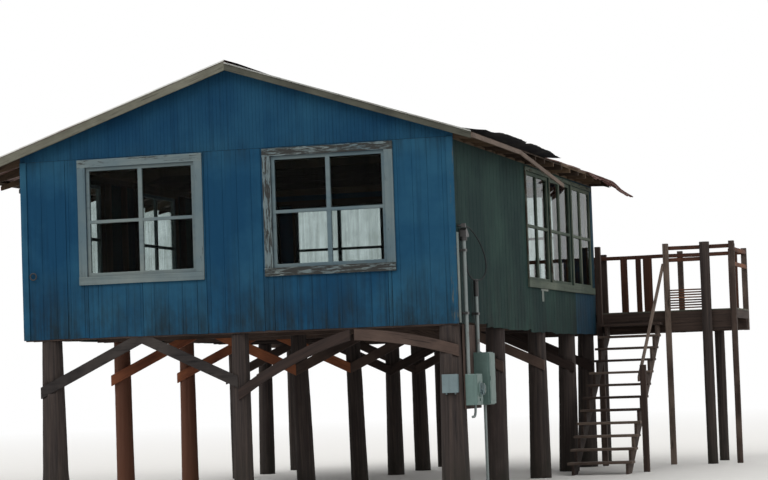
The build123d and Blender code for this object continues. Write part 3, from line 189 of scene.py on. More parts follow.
def paint(name, fresh, faded, under, foot, wear, top=ABOVE_ALL):
    """Old paint on timber: fading, runs down the grain, dirt at the foot, painted shade along the
    top, bare patches.
    """
    s = Shader(name, Specular_IOR_Level=0.1)
    fade = s.noise(s.place, 0.8, 5, 0.62)
    runs = s.noise(s.grain, (0.55, 17.0, 17.0), 5, 0.65)
    fibre = s.noise(s.grain, (7.0, 190.0, 190.0), 3, 0.6)
    colour = s.mix(s.ramp(s.plus(fade, s.times(s.tint, 0.1)), 0.38, 0.72), fresh, faded)
    colour = s.mix(s.ramp(runs, 0.5, 0.75, 0.0, 0.5), colour, dim(fresh, 0.5))
    height = s.upward(s.place)
    low = s.ramp(height, foot + 0.1, foot + 1.0, 1.0, 0.0)
    # painted shade: a dark band along the top of the wall, under the roof edge
    high = s.ramp(height, top - 0.3, top, 0.0, 0.55)
    mottle = s.noise(s.place, (3.2, 3.2, 1.5), 6, 0.68)
    smear = s.ramp(s.plus(s.times(runs, 0.5), s.times(mottle, 0.7)), 0.5, 0.74)
    # one mask for the dirt at the foot and the painted shade at the top
    grime_and_shade = s.times(s.math("MAXIMUM", low, high), smear)
    colour = s.mix(s.times(grime_and_shade, 0.8), colour, rgb(26, 32, 32))
    peel = s.noise(s.grain, (4.5, 34.0, 34.0), 6, 0.7, 0.4)
    lost = s.plus(s.times(s.bare, 0.6), s.times(low, 0.07))
    worn = s.ramp(s.plus(peel, lost), 0.86 - 0.2 * wear, 0.92 - 0.2 * wear)
    colour = s.mix(worn, colour, s.mix(fibre, under, dim(under, 0.6)))
    relief = s.math("SUBTRACT", s.times(fibre, 0.4), s.times(worn, 0.5))
    return s.finish(colour, s.ramp(worn, 0.0, 1.0, 0.8, 0.95), relief, 0.0018)


def enamel(name, coat, rust, wear, metallic=0.0):
    """Painted or coated steel with scratches, streaks and a little rust here and there."""
    s = Shader(name, Metallic=metallic)
    patches = s.noise(s.place, 6.0, 6, 0.65)
    streaks = s.noise(s.place, (40.0, 40.0, 1.5), 4, 0.6)
    speck = s.noise(s.place, 90.0, 3, 0.7)
    colour = s.mix(s.ramp(patches, 0.3, 0.75), coat, dim(coat, 0.72))
    colour = s.mix(s.ramp(streaks, 0.5, 0.8, 0.0, 0.45), colour, dim(coat, 0.45))
    spread = s.plus(patches, s.times(speck, 0.35))
    rusty = s.ramp(spread, 0.98 - 0.22 * wear, 1.06 - 0.22 * wear)
    colour = s.mix(rusty, colour, s.mix(speck, rust, dim(rust, 0.45)))
    relief = s.plus(s.times(rusty, 0.6), speck)
    return s.finish(colour, s.ramp(rusty, 0.0, 1.0, 0.42, 0.9), relief, 0.0006)


def rusty_roof(name, zinc, rust, light, amount):
    """Corrugated steel: zinc under rust that runs down the slope, scuffs and a pale underside."""
    s = Shader(name, Metallic=0.25)
    cloud = s.noise(s.place, 1.1, 6, 0.68)
    runs = s.noise(s.place, (1.2, 14.0, 1.2), 5, 0.65, 0.2)
    speck = s.noise(s.place, 70.0, 4, 0.7)
    spread = s.plus(s.times(cloud, 0.7), s.times(runs, 0.4))
    mask = s.ramp(spread, amount - 0.14, amount + 0.12)
    tone = s.mix(s.ramp(speck, 0.3, 0.7), rust, dim(rust, 0.4))
    metal = s.mix(s.ramp(runs, 0.35, 0.7), zinc, light)
    facing = s.upward(s.add("NewGeometry").outputs["Normal"])
    under = s.mix(s.ramp(cloud, 0.4, 0.65), rgb(186, 164, 160), rgb(132, 104, 98))
    colour = s.mix(s.ramp(facing, -0.5, -0.6), s.mix(mask, metal, tone), under)
    relief = s.plus(s.times(mask, 0.6), speck)
    return s.finish(colour, s.ramp(mask, 0.0, 1.0, 0.45, 0.92), relief, 0.0008)


def felt_material():
    """Black roll roofing: mineral grit, dusty patches and lichen."""
    s = Shader("felt")
    grit = s.noise(s.place, 420.0, 2, 0.7)
    dust = s.noise(s.place, 2.2, 6, 0.65)
    wrinkle = s.noise(s.place, 9.0, 4, 0.6)
    colour = s.mix(s.ramp(grit, 0.35, 0.7), rgb(30, 29, 33), rgb(74, 72, 76))
    colour = s.mix(s.ramp(wrinkle, 0.35, 0.7, 0.0, 0.35), colour, rgb(22, 21, 24))
    colour = s.mix(s.ramp(dust, 0.48, 0.72, 0.0, 0.55), colour, rgb(104, 100, 92))
    lichen = s.ramp(s.noise(s.place, 12.0, 5, 0.7), 0.62, 0.7, 0.0, 0.6)
    colour = s.mix(lichen, colour, rgb(112, 118, 98))
    relief = s.plus(s.times(grit, 0.4), wrinkle)
    return s.finish(colour, s.ramp(dust, 0.3, 0.8, 0.8, 0.95), relief, 0.002)


def glass_material():
    """Old window glass with a film of dust and dried runs."""
    s = Shader("window_glass", Transmission_Weight=1.0, Roughness=0.0, IOR=1.1)
    film = s.noise(s.place, 1.4, 5, 0.62)
    runs = s.noise(s.place, (22.0, 22.0, 1.4), 4, 0.55)
    dirt = s.ramp(s.plus(s.times(film, 0.6), s.times(runs, 0.5)), 0.42, 0.8)
    return s.finish(s.mix(dirt, rgb(210, 219, 219), rgb(150, 159, 155)))


def cable_material():
    """Black cable jacket: dull, with dust and fine scuffs along it."""
    s = Shader("cable", Specular_IOR_Level=0.2)
    base = rgb(28, 28, 30)
    dust = s.noise(s.place, 14.0, 5, 0.65)
    scuff = s.noise(s.place, 160.0, 3, 0.6)
    colour = s.mix(s.ramp(dust, 0.5, 0.8), base, tuple(c * 2 + 0.01 for c in base))
    return s.finish(colour, s.ramp(scuff, 0.3, 0.7, 0.5, 0.75), scuff, 0.0003)


def log_material():
    """A grey-brown peeled log: long cracks, bark scraps, damp at the foot and bare red wood."""
    s = Shader("log", Specular_IOR_Level=0.25)
    streaks = s.noise(s.grain, (0.9, 20.0, 20.0), 6, 0.65, 0.5)
    fibre = s.noise(s.grain, (5.0, 120.0, 120.0), 4, 0.65)
    bark = s.noise(s.place, (6.0, 6.0, 2.2), 6, 0.68)
    colour = s.mix(s.ramp(streaks, 0.3, 0.7), rgb(30, 26, 27), rgb(72, 62, 57))
    scraps = s.ramp(s.plus(bark, s.times(s.tint, 0.3)), 0.5, 0.8)
    colour = s.mix(scraps, colour, rgb(48, 39, 38))
    colour = s.mix(s.ramp(fibre, 0.4, 0.7, 0.0, 0.4), colour, rgb(28, 24, 24))
    damp = s.times(s.ramp(s.upward(s.place), 0.1, 0.75, 1.0, 0.0), s.ramp(bark, 0.3, 0.6))
    colour = s.mix(s.times(damp, 0.7), colour, rgb(34, 34, 28))
    colour = s.mix(s.times(s.bare, 0.8), colour, rgb(104, 64, 46))
    relief = s.plus(s.times(streaks, 0.7), s.times(fibre, 0.35))
    return s.finish(colour, s.ramp(bark, 0.2, 0.8, 0.78, 0.95), relief, 0.006)


def named(maker, name, *values):
    """A name and the material that a maker gives it."""
    return name, maker(name, *values)


GREY_PLY = rgb(58, 62, 62)
RUST = rgb(104, 62, 44)
MATERIALS = dict((
    named(wood, "old_timber", rgb(92, 76, 68), rgb(58, 45, 40), rgb(30, 24, 23), 0.6),
    named(wood, "red_timber", rgb(150, 92, 62), rgb(112, 60, 40), rgb(60, 34, 26), 0.5),
    named(wood, "limb", rgb(78, 72, 68), rgb(48, 43, 42), rgb(26, 23, 23), 0.7),
    named(wood, "framing", rgb(98, 80, 62), rgb(66, 52, 40), rgb(38, 29, 24), 0.35),
    named(wood, "bare_boards", rgb(122, 121, 108), rgb(94, 93, 81), rgb(50, 48, 42), 0.6),
    # painted shade: a darker copy of the bare boards' colours for the right rakes, which stand in
    # shade
    named(wood, "dark_rake", rgb(88, 88, 78), rgb(62, 63, 56), rgb(34, 34, 31), 0.6),
    named(wood, "deck_timber", rgb(112, 98, 88), rgb(72, 58, 51), rgb(36, 29, 27), 0.6),
    named(wood, "rail_timber", rgb(132, 86, 60), rgb(86, 53, 38), rgb(42, 29, 24), 0.5),
    named(
        paint, "front_siding", rgb(16, 58, 86), rgb(38, 82, 106), GREY_PLY,
        FRONT_FOOT, 0.3, PLATE_TOP,
    ),
    named(paint, "gable_siding", rgb(14, 54, 82), rgb(32, 74, 98), GREY_PLY, 3.9, 0.25),
    named(
        paint, "side_siding", rgb(18, 40, 39), rgb(40, 63, 57), rgb(62, 60, 50),
        SIDE_FOOT, 0.5, SIDE_TOP,
    ),
    named(
        paint, "blue_panel", rgb(22, 52, 70), rgb(40, 68, 78), rgb(62, 60, 52),
        SIDE_FOOT, 0.35, SIDE_TOP,
    ),
    named(paint, "trim", rgb(86, 103, 110), rgb(114, 123, 121), rgb(60, 61, 60), SIDE_FOOT, 0.85),
    named(paint, "side_trim", rgb(68, 78, 70), rgb(98, 105, 94), rgb(58, 52, 44), SIDE_FOOT, 0.9),
    named(
        paint, "pale_trim", rgb(112, 124, 124), rgb(140, 144, 136), rgb(84, 76, 66),
        SIDE_FOOT, 0.8,
    ),
    named(paint, "blue_trim", rgb(22, 64, 92), rgb(46, 88, 108), rgb(84, 90, 88), FRONT_FOOT, 0.4),
    named(
        rusty_roof, "roof_metal", rgb(116, 114, 112), rgb(112, 66, 50), rgb(144, 136, 128), 0.5
    ),
    named(
        rusty_roof, "bent_metal", rgb(128, 104, 98), rgb(96, 56, 48), rgb(156, 130, 120), 0.5
    ),
    named(
        rusty_roof, "edge_metal", rgb(100, 101, 99), rgb(98, 70, 54), rgb(132, 131, 126), 0.58
    ),
    # painted highlight: pale zinc for the rake flashing, for its sky-lit top edge
    named(
        rusty_roof, "bright_edge", rgb(178, 180, 176), rgb(122, 98, 82), rgb(214, 214, 208), 0.7
    ),
    named(enamel, "grey_enamel", rgb(88, 112, 107), RUST, 0.5),
    named(enamel, "pale_enamel", rgb(104, 122, 126), RUST, 0.45),
    named(enamel, "galvanised", rgb(120, 129, 128), rgb(100, 68, 52), 0.6, 0.4),
    named(enamel, "iron", rgb(50, 48, 48), rgb(84, 50, 38), 0.7, 0.3),
    ("log", log_material()),
    ("felt", felt_material()),
    ("window_glass", glass_material()),
    ("cable", cable_material()),
))

SAME_POINT = 0.00002


def cad_mesh(node):
    """A CAD node's mesh as a bmesh with its points merged and its flat faces whole."""
    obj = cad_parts[node]
    bm = bmesh.new()
    bm.from_mesh(obj.data)
    bm.transform(obj.matrix_world)
    bmesh.ops.remove_doubles(bm, verts=bm.verts, dist=SAME_POINT)
    bmesh.ops.dissolve_limit(bm, angle_limit=math.radians(1), verts=bm.verts, edges=bm.edges)
    return bm


def islands(bm):
    """The faces of each separate solid."""
    for face in bm.faces:
        face.tag = False
    groups = []
    for seed in bm.faces:
        if seed.tag:
            continue
        seed.tag = True
        group, stack = [seed], [seed]
        while stack:
            for edge in stack.pop().edges:
                for other in edge.link_faces:
                    if not other.tag:
                        other.tag = True
                        group.append(other)
                        stack.append(other)
        groups.append(group)
    return groups


def points_of(group):
    """One solid's points, each once."""
    return list(dict.fromkeys(v for f in group for v in f.verts))


def group_box(group):
    """The low and high corners of one solid's box."""
    points = [v.co for v in points_of(group)]
    return [[pick(p[i] for p in points) for i in range(3)] for pick in (min, max)]


def group_centre(group):
    """The middle of one solid's box."""
    return [(a + b) / 2 for a, b in zip(*group_box(group))]


def solid_tree(group):
    """One solid's faces as a tree that rays can be cast at."""
    verts = points_of(group)
    index = {v: i for i, v in enumerate(verts)}
    faces = [[index[v] for v in f.verts] for f in group]
    return BVHTree.FromPolygons([v.co[:] for v in verts], faces)


def add_block(bm, low, high):
    """A plain box between two corners, and its points."""
    verts = bmesh.ops.create_cube(bm, size=1.0)["verts"]
    centre = [(a + b) / 2 for a, b in zip(low, high)]
    for vert in verts:
        vert.co = Vector([c + v * (b - a) for c, v, a, b in zip(centre, vert.co, low, high)])
    return verts


def join_rings(bm, rings):
    """Faces between one ring of points and the next, and an end face at both ends."""
    for lower, upper in zip(rings, rings[1:]):
        for i in range(len(lower)):
            j = (i + 1) % len(lower)
            bm.faces.new((lower[i], lower[j], upper[j], upper[i]))
    bm.faces.new(rings[0][::-1])
    bm.faces.new(rings[-1])


def layers(bm):
    """The grain, tint and bare layers that the timber materials read."""
    floats = bm.verts.layers.float
    return bm.verts.layers.float_vector.new("grain"), floats.new("tint"), floats.new("bare")


def add_piece(name, bm, material, nodes=(), smooth=False):
    """The bmesh as a piece of the object."""
    bmesh.ops.recalc_face_normals(bm, faces=bm.faces)
    mesh = bpy.data.meshes.new(name)
    bm.to_mesh(mesh)
    bm.free()
    obj = bpy.data.objects.new(name, mesh)
    bpy.context.scene.collection.objects.link(obj)
    mesh.materials.append(MATERIALS[material])
    if smooth:
        mesh.polygons.foreach_set("use_smooth", [True] * len(mesh.polygons))
    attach(obj, "root")
    if nodes:
        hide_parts(*nodes)


def place_key(*place):
    """A place in centimetres as a seed, the same whatever order its solid's points come in."""
    return " ".join("%.2f" % (round(float(c), 4) + 0.0) for c in place)


NOISE_SPAN = 40


def own_noise(*place):
    """A part's random numbers, its shift in the noise field and its tone, from its place."""
    rng = random.Random(place_key(*place))
    shift = Vector([rng.uniform(0, NOISE_SPAN) for _ in range(3)])
    return rng, shift, rng.uniform(-1, 1)


SHARP_ANGLE = 0.5
CUT_TOLERANCE = 0.00001
MOST_CUTS = 40


def weather(
    name, bm, material, slot, nodes=(), bevel=0.004, step=0.3, wobble=0.003, bare=None, keep=None
):
    """Boards with eased edges, a little out of true, each with its own grain and tone."""
    if keep:
        gone = [f for group in islands(bm) if not keep(group_centre(group)) for f in group]
        bmesh.ops.delete(bm, geom=gone, context="FACES")
    if bevel:
        inner = (e for e in bm.edges if len(e.link_faces) == 2)
        sharp = [e for e in inner if e.calc_face_angle() > SHARP_ANGLE]
        bmesh.ops.bevel(
            bm, geom=sharp, offset=bevel, segments=1, affect="EDGES", clamp_overlap=True
        )
    grain, tint, bare_layer = layers(bm)
    for group in islands(bm):
        verts = points_of(group)
        points = np.unique(np.round([v.co[:] for v in verts], 5), axis=0)
        centre = points.mean(axis=0)
        middle = Vector(centre)
        _, axes = np.linalg.eigh(np.round(np.cov((points - centre).T), 8))
        along, across, through = (Vector(axes[:, i]) for i in (2, 1, 0))
        reach = [(Vector(p) - middle).dot(along) for p in points]
        low, high = min(reach), max(reach)
        edges = list(dict.fromkeys(e for f in group for e in f.edges))
        geometry = verts + edges + list(group)
        cuts = min(MOST_CUTS, int((high - low) / step))
        for i in range(1, cuts + 1):
            at = middle + along * (low + (high - low) * i / (cuts + 1))
            geometry = bmesh.ops.bisect_plane(
                bm, geom=geometry, dist=CUT_TOLERANCE, plane_co=at, plane_no=along
            )["geom"]
        rng, shift, tone = own_noise(*centre)
        bareness = bare(centre, rng) if bare else 0.0
        for vert in geometry:
            if not isinstance(vert, bmesh.types.BMVert):
                continue
            p = vert.co.copy()
            vert[grain] = Vector((p.dot(along), p.dot(across), p.dot(through))) + shift
            vert[tint] = tone
            vert[bare_layer] = bareness
            push = noise.noise_vector(p * 1.3 + shift) * wobble
            fine = noise.noise_vector(p * 9 + shift) * wobble * 0.35
            vert.co = p + across * (push.x + fine.x) + through * (push.y + fine.y) * 0.6
    add_piece(name, bm, material, nodes)


# Logs: rings round each post's axis that follow its solid, flats and notches too, with cracks and
# lumps cut in
LOG_SIDES = 44
RING_STEP = 0.05
LOG_STEPS = (SERVICE_FLAT_FOOT, GIRDER_BOTTOM)
STEP_EASE = 0.001
END_EASE = 0.0005
NEAREST_RING = 0.012
LOG_INSET = 0.006
LUMP_HEIGHT = 0.007
CRACK_DEPTH = 0.022
CRACK_START = 0.32
FIBRE_HEIGHT = 0.002
MISSED_REACH = 0.12
BOX_POINTS = 8
RED_BARENESS = 0.85


def log_levels(top_z):
    """The heights of a log's rings, with a close pair at each step in the solid."""
    steps = {z - STEP_EASE for z in LOG_STEPS} | {z + STEP_EASE for z in LOG_STEPS}
    even = {i * RING_STEP for i in range(int(top_z / RING_STEP) + 1)}
    return [z for z in sorted(even | steps | {top_z}) if z <= top_z - NEAREST_RING or z == top_z]


def add_log(bm, store, group, redness):
    """One log added to the bmesh."""
    grain, tint, bare_layer = store
    tree = solid_tree(group)
    points = [v.co for v in points_of(group)]
    top_z = max(p.z for p in points)
    foot = [p for p in points if p.z < STEP_EASE]
    foot_at = sum(foot, Vector()) / len(foot)
    head = [p for p in points if p.z > top_z - STEP_EASE]
    head_at = Vector([(min(p[i] for p in head) + max(p[i] for p in head)) / 2 for i in range(3)])
    _, shift, tone = own_noise(foot_at.x, foot_at.y)
    rings = []
    for z in log_levels(top_z):
        centre = foot_at.lerp(head_at, z / top_z)
        start = Vector((centre.x, centre.y, min(max(z, END_EASE), top_z - END_EASE)))
        ring = []
        for i in range(LOG_SIDES):
            angle = 2 * math.pi * i / LOG_SIDES
            out = Vector((math.cos(angle), math.sin(angle), 0))
            hit, _, _, reach = tree.ray_cast(start, out)
            reach = reach if hit else MISSED_REACH
            wrap = Vector((out.x * 2.1, out.y * 2.1, z * 0.55))
            lump = noise.noise(wrap * 1.3 + shift) * LUMP_HEIGHT
            crack = noise.noise(Vector((out.x * 9, out.y * 9, z * 0.8)) + shift)
            cut = CRACK_DEPTH * max(0.0, crack - CRACK_START)
            fine = noise.noise(Vector((out.x * 24, out.y * 24, z * 9)) + shift) * FIBRE_HEIGHT
            reach -= LOG_INSET - lump + cut - fine
            vert = bm.verts.new((start.x + out.x * reach, start.y + out.y * reach, z))
            vert[grain] = Vector((z, out.x * 0.2, out.y * 0.2)) + shift
            vert[tint] = tone
            vert[bare_layer] = redness
            ring.append(vert)
        rings.append(ring)
    join_rings(bm, rings)


def logs(name, node):
    """The round posts of a node as one piece; the square ones stay in the returned bmesh."""
    source = cad_mesh(node)
    bm = bmesh.new()
    store = layers(bm)
    round_faces = []
    for group in islands(source):
        if len(points_of(group)) <= BOX_POINTS:
            continue
        x, y, _ = group_centre(group)
        add_log(bm, store, group, RED_BARENESS if 2.0 < y < 6.0 and x < -5 else 0.0)
        round_faces += group
    add_piece(name, bm, "log", (node,), smooth=True)
    bmesh.ops.delete(source, geom=round_faces, context="FACES")
    return source


logs("house_logs", "house_posts").free()
square_posts = logs("deck_logs", "deck_posts")
weather("deck_square_posts", square_posts, "deck_timber", "log", bevel=0.005)

# Siding: plywood panels with routed grooves, buckled a little, ragged along the foot
GROOVE_PITCH = 0.2032
GROOVE_WIDTH = 0.008
GROOVE_DEPTH = 0.004
GROOVE_SIDE = 0.001
SEAM_EASE = 0.0015
PANEL_ROW = 0.3
BUCKLE = 0.0035
FOOT_PANELS_BELOW = 2.3
BLUE_PANEL_Y = 7.37

# How each wall's panels lie: their horizontal axis, outward axis and outward sign
WALL_SIDES = {
    "siding_front": (0, 1, -1),
    "siding_back": (0, 1, 1),
    "siding_right": (1, 0, 1),
    "siding_left": (1, 0, -1),
}


def groove_columns(start, end, pitch, margin, half, side, depth):
    """Pairs of place and depth across a panel, with four for each groove."""
    columns = [(start, 0.0)]
    for i in range(math.ceil(start / pitch), math.floor(end / pitch) + 1):
        middle = i * pitch
        if middle - margin < start or middle + margin > end:
            continue
        columns += [(middle - half, 0.0), (middle - half + side, depth)]
        columns += [(middle + half - side, depth), (middle + half, 0.0)]
    columns.append((end, 0.0))
    return columns


def grooved(name, node, material, rag, only=None, replace=True):
    """The panels of one wall, each made again from its solid's box."""
    flat, out_axis, sign = WALL_SIDES[node]
    source = cad_mesh(node)
    bm = bmesh.new()
    grain, tint, bare_layer = layers(bm)
    for group in islands(source):
        low, high = group_box(group)
        if only and not only((low[flat] + high[flat]) / 2):
            continue
        face_at = high[out_axis] if sign > 0 else low[out_axis]
        back_at = low[out_axis] if sign > 0 else high[out_axis]
        u0, u1, z0, z1 = low[flat] + SEAM_EASE, high[flat] - SEAM_EASE, low[2], high[2]
        columns = groove_columns(
            u0, u1, GROOVE_PITCH, GROOVE_WIDTH, GROOVE_WIDTH / 2, GROOVE_SIDE, GROOVE_DEPTH
        )
        count = max(1, round((z1 - z0) / PANEL_ROW))
        _, shift, tone = own_noise(u0, z0)
        at_foot = z0 < FOOT_PANELS_BELOW

        def point(u, z, out):
            place = [0.0, 0.0, z]
            place[flat] = u
            place[out_axis] = out
            vert = bm.verts.new(place)
            vert[grain] = Vector((z, u, out)) + shift
            vert[tint] = tone
            vert[bare_layer] = 0.15 * max(0.0, tone) if at_foot else 0.0
            return vert

        grid = []
        for row in range(count + 1):
            z = z0 + (z1 - z0) * row / count
            line = []
            for u, depth in columns:
                bulge = noise.noise(Vector((u * 1.1, z * 0.9, 3.0)) + shift)
                depth += BUCKLE * max(0.0, bulge)
                lift = 0.0
                if row == 0 and at_foot:
                    ragged = noise.noise(Vector((u * 7, 1.0, 0.0)) + shift)
                    lift = rag * max(0.0, ragged + 0.25)
                    lift += rag * 0.35 * abs(noise.noise(Vector((u * 45, 5.0, 0.0))))
                front = point(u, z + lift, face_at - sign * depth)
                line.append((front, point(u, z + lift, back_at)))
            grid.append(line)
        for lower, upper in zip(grid, grid[1:]):
            for i in range(len(columns) - 1):
                bm.faces.new((lower[i][0], lower[i + 1][0], upper[i + 1][0], upper[i][0]))
                bm.faces.new((lower[i][1], upper[i][1], upper[i + 1][1], lower[i + 1][1]))
            for i in (0, -1):
                bm.faces.new((lower[i][0], upper[i][0], upper[i][1], lower[i][1]))
        for line in (grid[0], grid[-1]):
            for i in range(len(columns) - 1):
                bm.faces.new((line[i][0], line[i + 1][0], line[i + 1][1], line[i][1]))
    source.free()
    add_piece(name, bm, material, (node,) if replace else ())


grooved("front_panels", "siding_front", "front_siding", 0.012)
grooved("back_panels", "siding_back", "front_siding", 0.01)
grooved("left_panels", "siding_left", "side_siding", 0.012)
grooved(
    "right_panels", "siding_right", "side_siding", 0.03,
    only=lambda y: y < BLUE_PANEL_Y,
)
grooved(
    "right_blue_panels", "siding_right", "blue_panel", 0.02,
    only=lambda y: y >= BLUE_PANEL_Y, replace=False,
)

# Gables: plywood with its grooves closer together, up to the roof's slope
GABLE_TOP_AT_WALL = PLATE_TOP + 0.1125
GABLE_SEAM = 0.004
GABLE_PITCH = 0.0508
GABLE_GROOVE_MARGIN = 0.008
GABLE_GROOVE_HALF = 0.003
GABLE_GROOVE_DEPTH = 0.0025
PLYWOOD = 0.016
SHEET_WIDTH = 1.22


def gable(name, face_y, sign):
    """One gable wall."""
    bm = bmesh.new()
    grain, tint, _ = layers(bm)
    columns = groove_columns(
        LEFT_X, RIGHT_X, GABLE_PITCH, GABLE_GROOVE_MARGIN, GABLE_GROOVE_HALF, GROOVE_SIDE,
        GABLE_GROOVE_DEPTH,
    )
    columns.append((MIDDLE_X, 0.0))
    columns.sort()
    lines = []
    for x, depth in columns:
        top = GABLE_TOP_AT_WALL + min(x - LEFT_X, RIGHT_X - x) * ROOF_SLOPE
        line = []
        for z in (PLATE_TOP + GABLE_SEAM, (PLATE_TOP + top) / 2, top):
            for inward in (depth, PLYWOOD):
                y = face_y - sign * inward
                vert = bm.verts.new((x, y, z))
                vert[grain] = (z, x, y)
                vert[tint] = noise.noise(Vector((math.floor(x / SHEET_WIDTH), 2.0, 0.5)))
                line.append(vert)
        lines.append(line)
    for a, b in zip(lines, lines[1:]):
        for i in (0, 2):
            bm.faces.new((a[i], b[i], b[i + 2], a[i + 2]))
            bm.faces.new((a[i + 1], a[i + 3], b[i + 3], b[i + 1]))
        bm.faces.new((a[0], a[1], b[1], b[0]))
        bm.faces.new((a[4], b[4], b[5], a[5]))
    for line in (lines[0], lines[-1]):
        for i in (0, 2):
            bm.faces.new((line[i], line[i + 2], line[i + 3], line[i + 1]))
    add_piece(name, bm, "gable_siding", ("gable_siding",))


gable("front_gable", FRONT_Y, -1)
gable("back_gable", BACK_Y, 1)


def bare_casing(centre, rng):
    """How bare a casing board is; the right front window's head and sill boards have no paint."""
    x, y, z = centre
    if y < 0 and -2.5 < x < -0.6 and abs(z - 3.8) > 0.6:
        return 0.42
    return 0.4 * rng.random()


def bare_corner(centre, _):
    """How bare a corner board is, the right front one the barest."""
    return 0.3 if centre[0] > 0 and centre[1] < 0 else 0.05


def on_right_wall(centre):
    """Whether a casing board or sash is on the right wall."""
    return centre[0] > 0.1


def dress(name, node, material, slot, **settings):
    """A node's boards, or those that settings keep, as one weathered piece."""
    weather(name, cad_mesh(node), material, slot, (node,), **settings)


def brace_timber(centre):
    """A knee brace's material: on the left a limb in front and red boards in the next rows."""
    x, y, _ = centre
    if x > -3 or y > 6:
        return "old_timber"
    return "limb" if y < 1 else "red_timber"


# Timber of the body, with its edges eased
dress("girder_boards", "girders", "old_timber", "old_timber", wobble=0.004)
for name, material in (
    ("brace_boards", "old_timber"),
    ("red_braces", "red_timber"),
    ("front_braces", "limb"),
):
    dress(
        name, "knee_braces", material, "old_timber", keep=lambda c: brace_timber(c) == material
    )
dress("joists", "floor_joists", "old_timber", "old_timber")
walls = ("wall_plates", "wall_studs", "window_headers")
for node in walls + ("rafters", "ridge_board", "ceiling_ties", "purlins"):
    dress(node + "_timber", node, "framing", "framing", step=0.8, wobble=0.002, bevel=0.002)
dress("corner_trim", "corner_boards", "blue_trim", "trim", bevel=0.003, bare=bare_corner)
UNCUT = 9
for prefix, material, on_side in (("", "trim", False), ("right_", "side_trim", True)):
    for node, wobble, step, bare in (
        ("window_casings", 0.003, 0.3, bare_casing),
        ("window_sashes", 0.0, UNCUT, None),
    ):
        dress(
            prefix + node + "_timber", node, material, "trim", bevel=0.003, wobble=wobble,
            step=step, bare=bare, keep=lambda c: on_right_wall(c) == on_side,
        )
# the right rakes take the darker copy of the boards' colours, a painted shade
for name, material, on_right in (
    ("left_rakes", "bare_boards", False),
    ("right_rakes", "dark_rake", True),
):
    dress(
        name, "rake_boards", material, "bare_boards", wobble=0.004,
        keep=lambda c: (c[0] >= MIDDLE_X) == on_right,
    )
dress("eave_trim", "eave_boards", "deck_timber", "bare_boards", wobble=0.004)
for node in ("deck_frame", "deck_girders", "stair_stringers", "stair_treads", "stair_handrail"):
    dress(node + "_timber", node, "deck_timber", "bare_boards")
dress("deck_boards_timber", "deck_boards", "bare_boards", "bare_boards")
for node in ("deck_rails", "rail_boards"):
    dress(node + "_timber", node, "rail_timber", "bare_boards", wobble=0.005)
dress("service_backboard", "service_board", "old_timber", "old_timber")
dress("door_leaf", "entrance_door", "trim", "trim", bevel=0.003, wobble=0.001)

# Floor and roof boards that the solids carry as single sheets
FLOOR_BOARDS = 43
FLOOR_GAP = 0.003
low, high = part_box("floor")
pitch = (high[0] - low[0]) / FLOOR_BOARDS
bm = bmesh.new()
for i in range(FLOOR_BOARDS):
    x0 = low[0] + i * pitch + FLOOR_GAP / 2
    x1 = low[0] + i * pitch + pitch - FLOOR_GAP / 2
    add_block(bm, (x0, low[1], low[2]), (x1, high[1], high[2]))
weather(
    "floor_boards", bm, "old_timber", "old_timber", ("floor",), bevel=0.002, step=1.2, wobble=0.001
)

ROOF_BOARDS = 18
ROOF_BOARD_GAP = 0.004
ROOF_BOARD_THICK = 0.019
low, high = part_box("roof_boards")
run = high[0] - low[0]
bm = bmesh.new()
for i in range(ROOF_BOARDS):
    x0 = low[0] + run * i / ROOF_BOARDS + ROOF_BOARD_GAP / 2
    x1 = low[0] + run * (i + 1) / ROOF_BOARDS - ROOF_BOARD_GAP / 2
    for vert in add_block(bm, (x0, low[1], 0), (x1, high[1], ROOF_BOARD_THICK)):
        vert.co.z += high[2] - ROOF_BOARD_THICK - (vert.co.x - low[0]) * ROOF_SLOPE
weather(
    "roof_deck_boards", bm, "framing", "framing", ("roof_boards",), bevel=0.002, step=0.9,
    wobble=0.001,
)


def top_of(tree, x, y):
    """The height of a solid's upper face over a place."""
    hit = tree.ray_cast(Vector((x, y, ABOVE_ALL)), Vector((0, 0, -1)))[0]
    return hit.z if hit else 0.0


def add_sheet(bm, rows, thickness):
    """A sheet over rows of points, with a thickness."""
    grid = [[bm.verts.new(p) for p in row] for row in rows]
    faces = []
    for lower, upper in zip(grid, grid[1:]):
        for i in range(len(lower) - 1):
            faces.append(bm.faces.new((lower[i], lower[i + 1], upper[i + 1], upper[i])))
    bmesh.ops.solidify(bm, geom=faces, thickness=thickness)


# Loose rear sheets: ribs that follow the solids' bend, with torn and fluttering ends
RIB = ((0.0, 0.0), (0.5, 0.0), (0.62, 1.0), (0.88, 1.0))
RIB_HEIGHT = 0.019
RIBS = 6
EAVE_X = 0.439
ROOF_COLUMNS = 10
LOOSE_COLUMNS = 16
SHEET_INSET = 0.001
SHEET_STEEL = 0.001
TEAR = 0.1
FRAY = 0.015
FLUTTER = 0.035

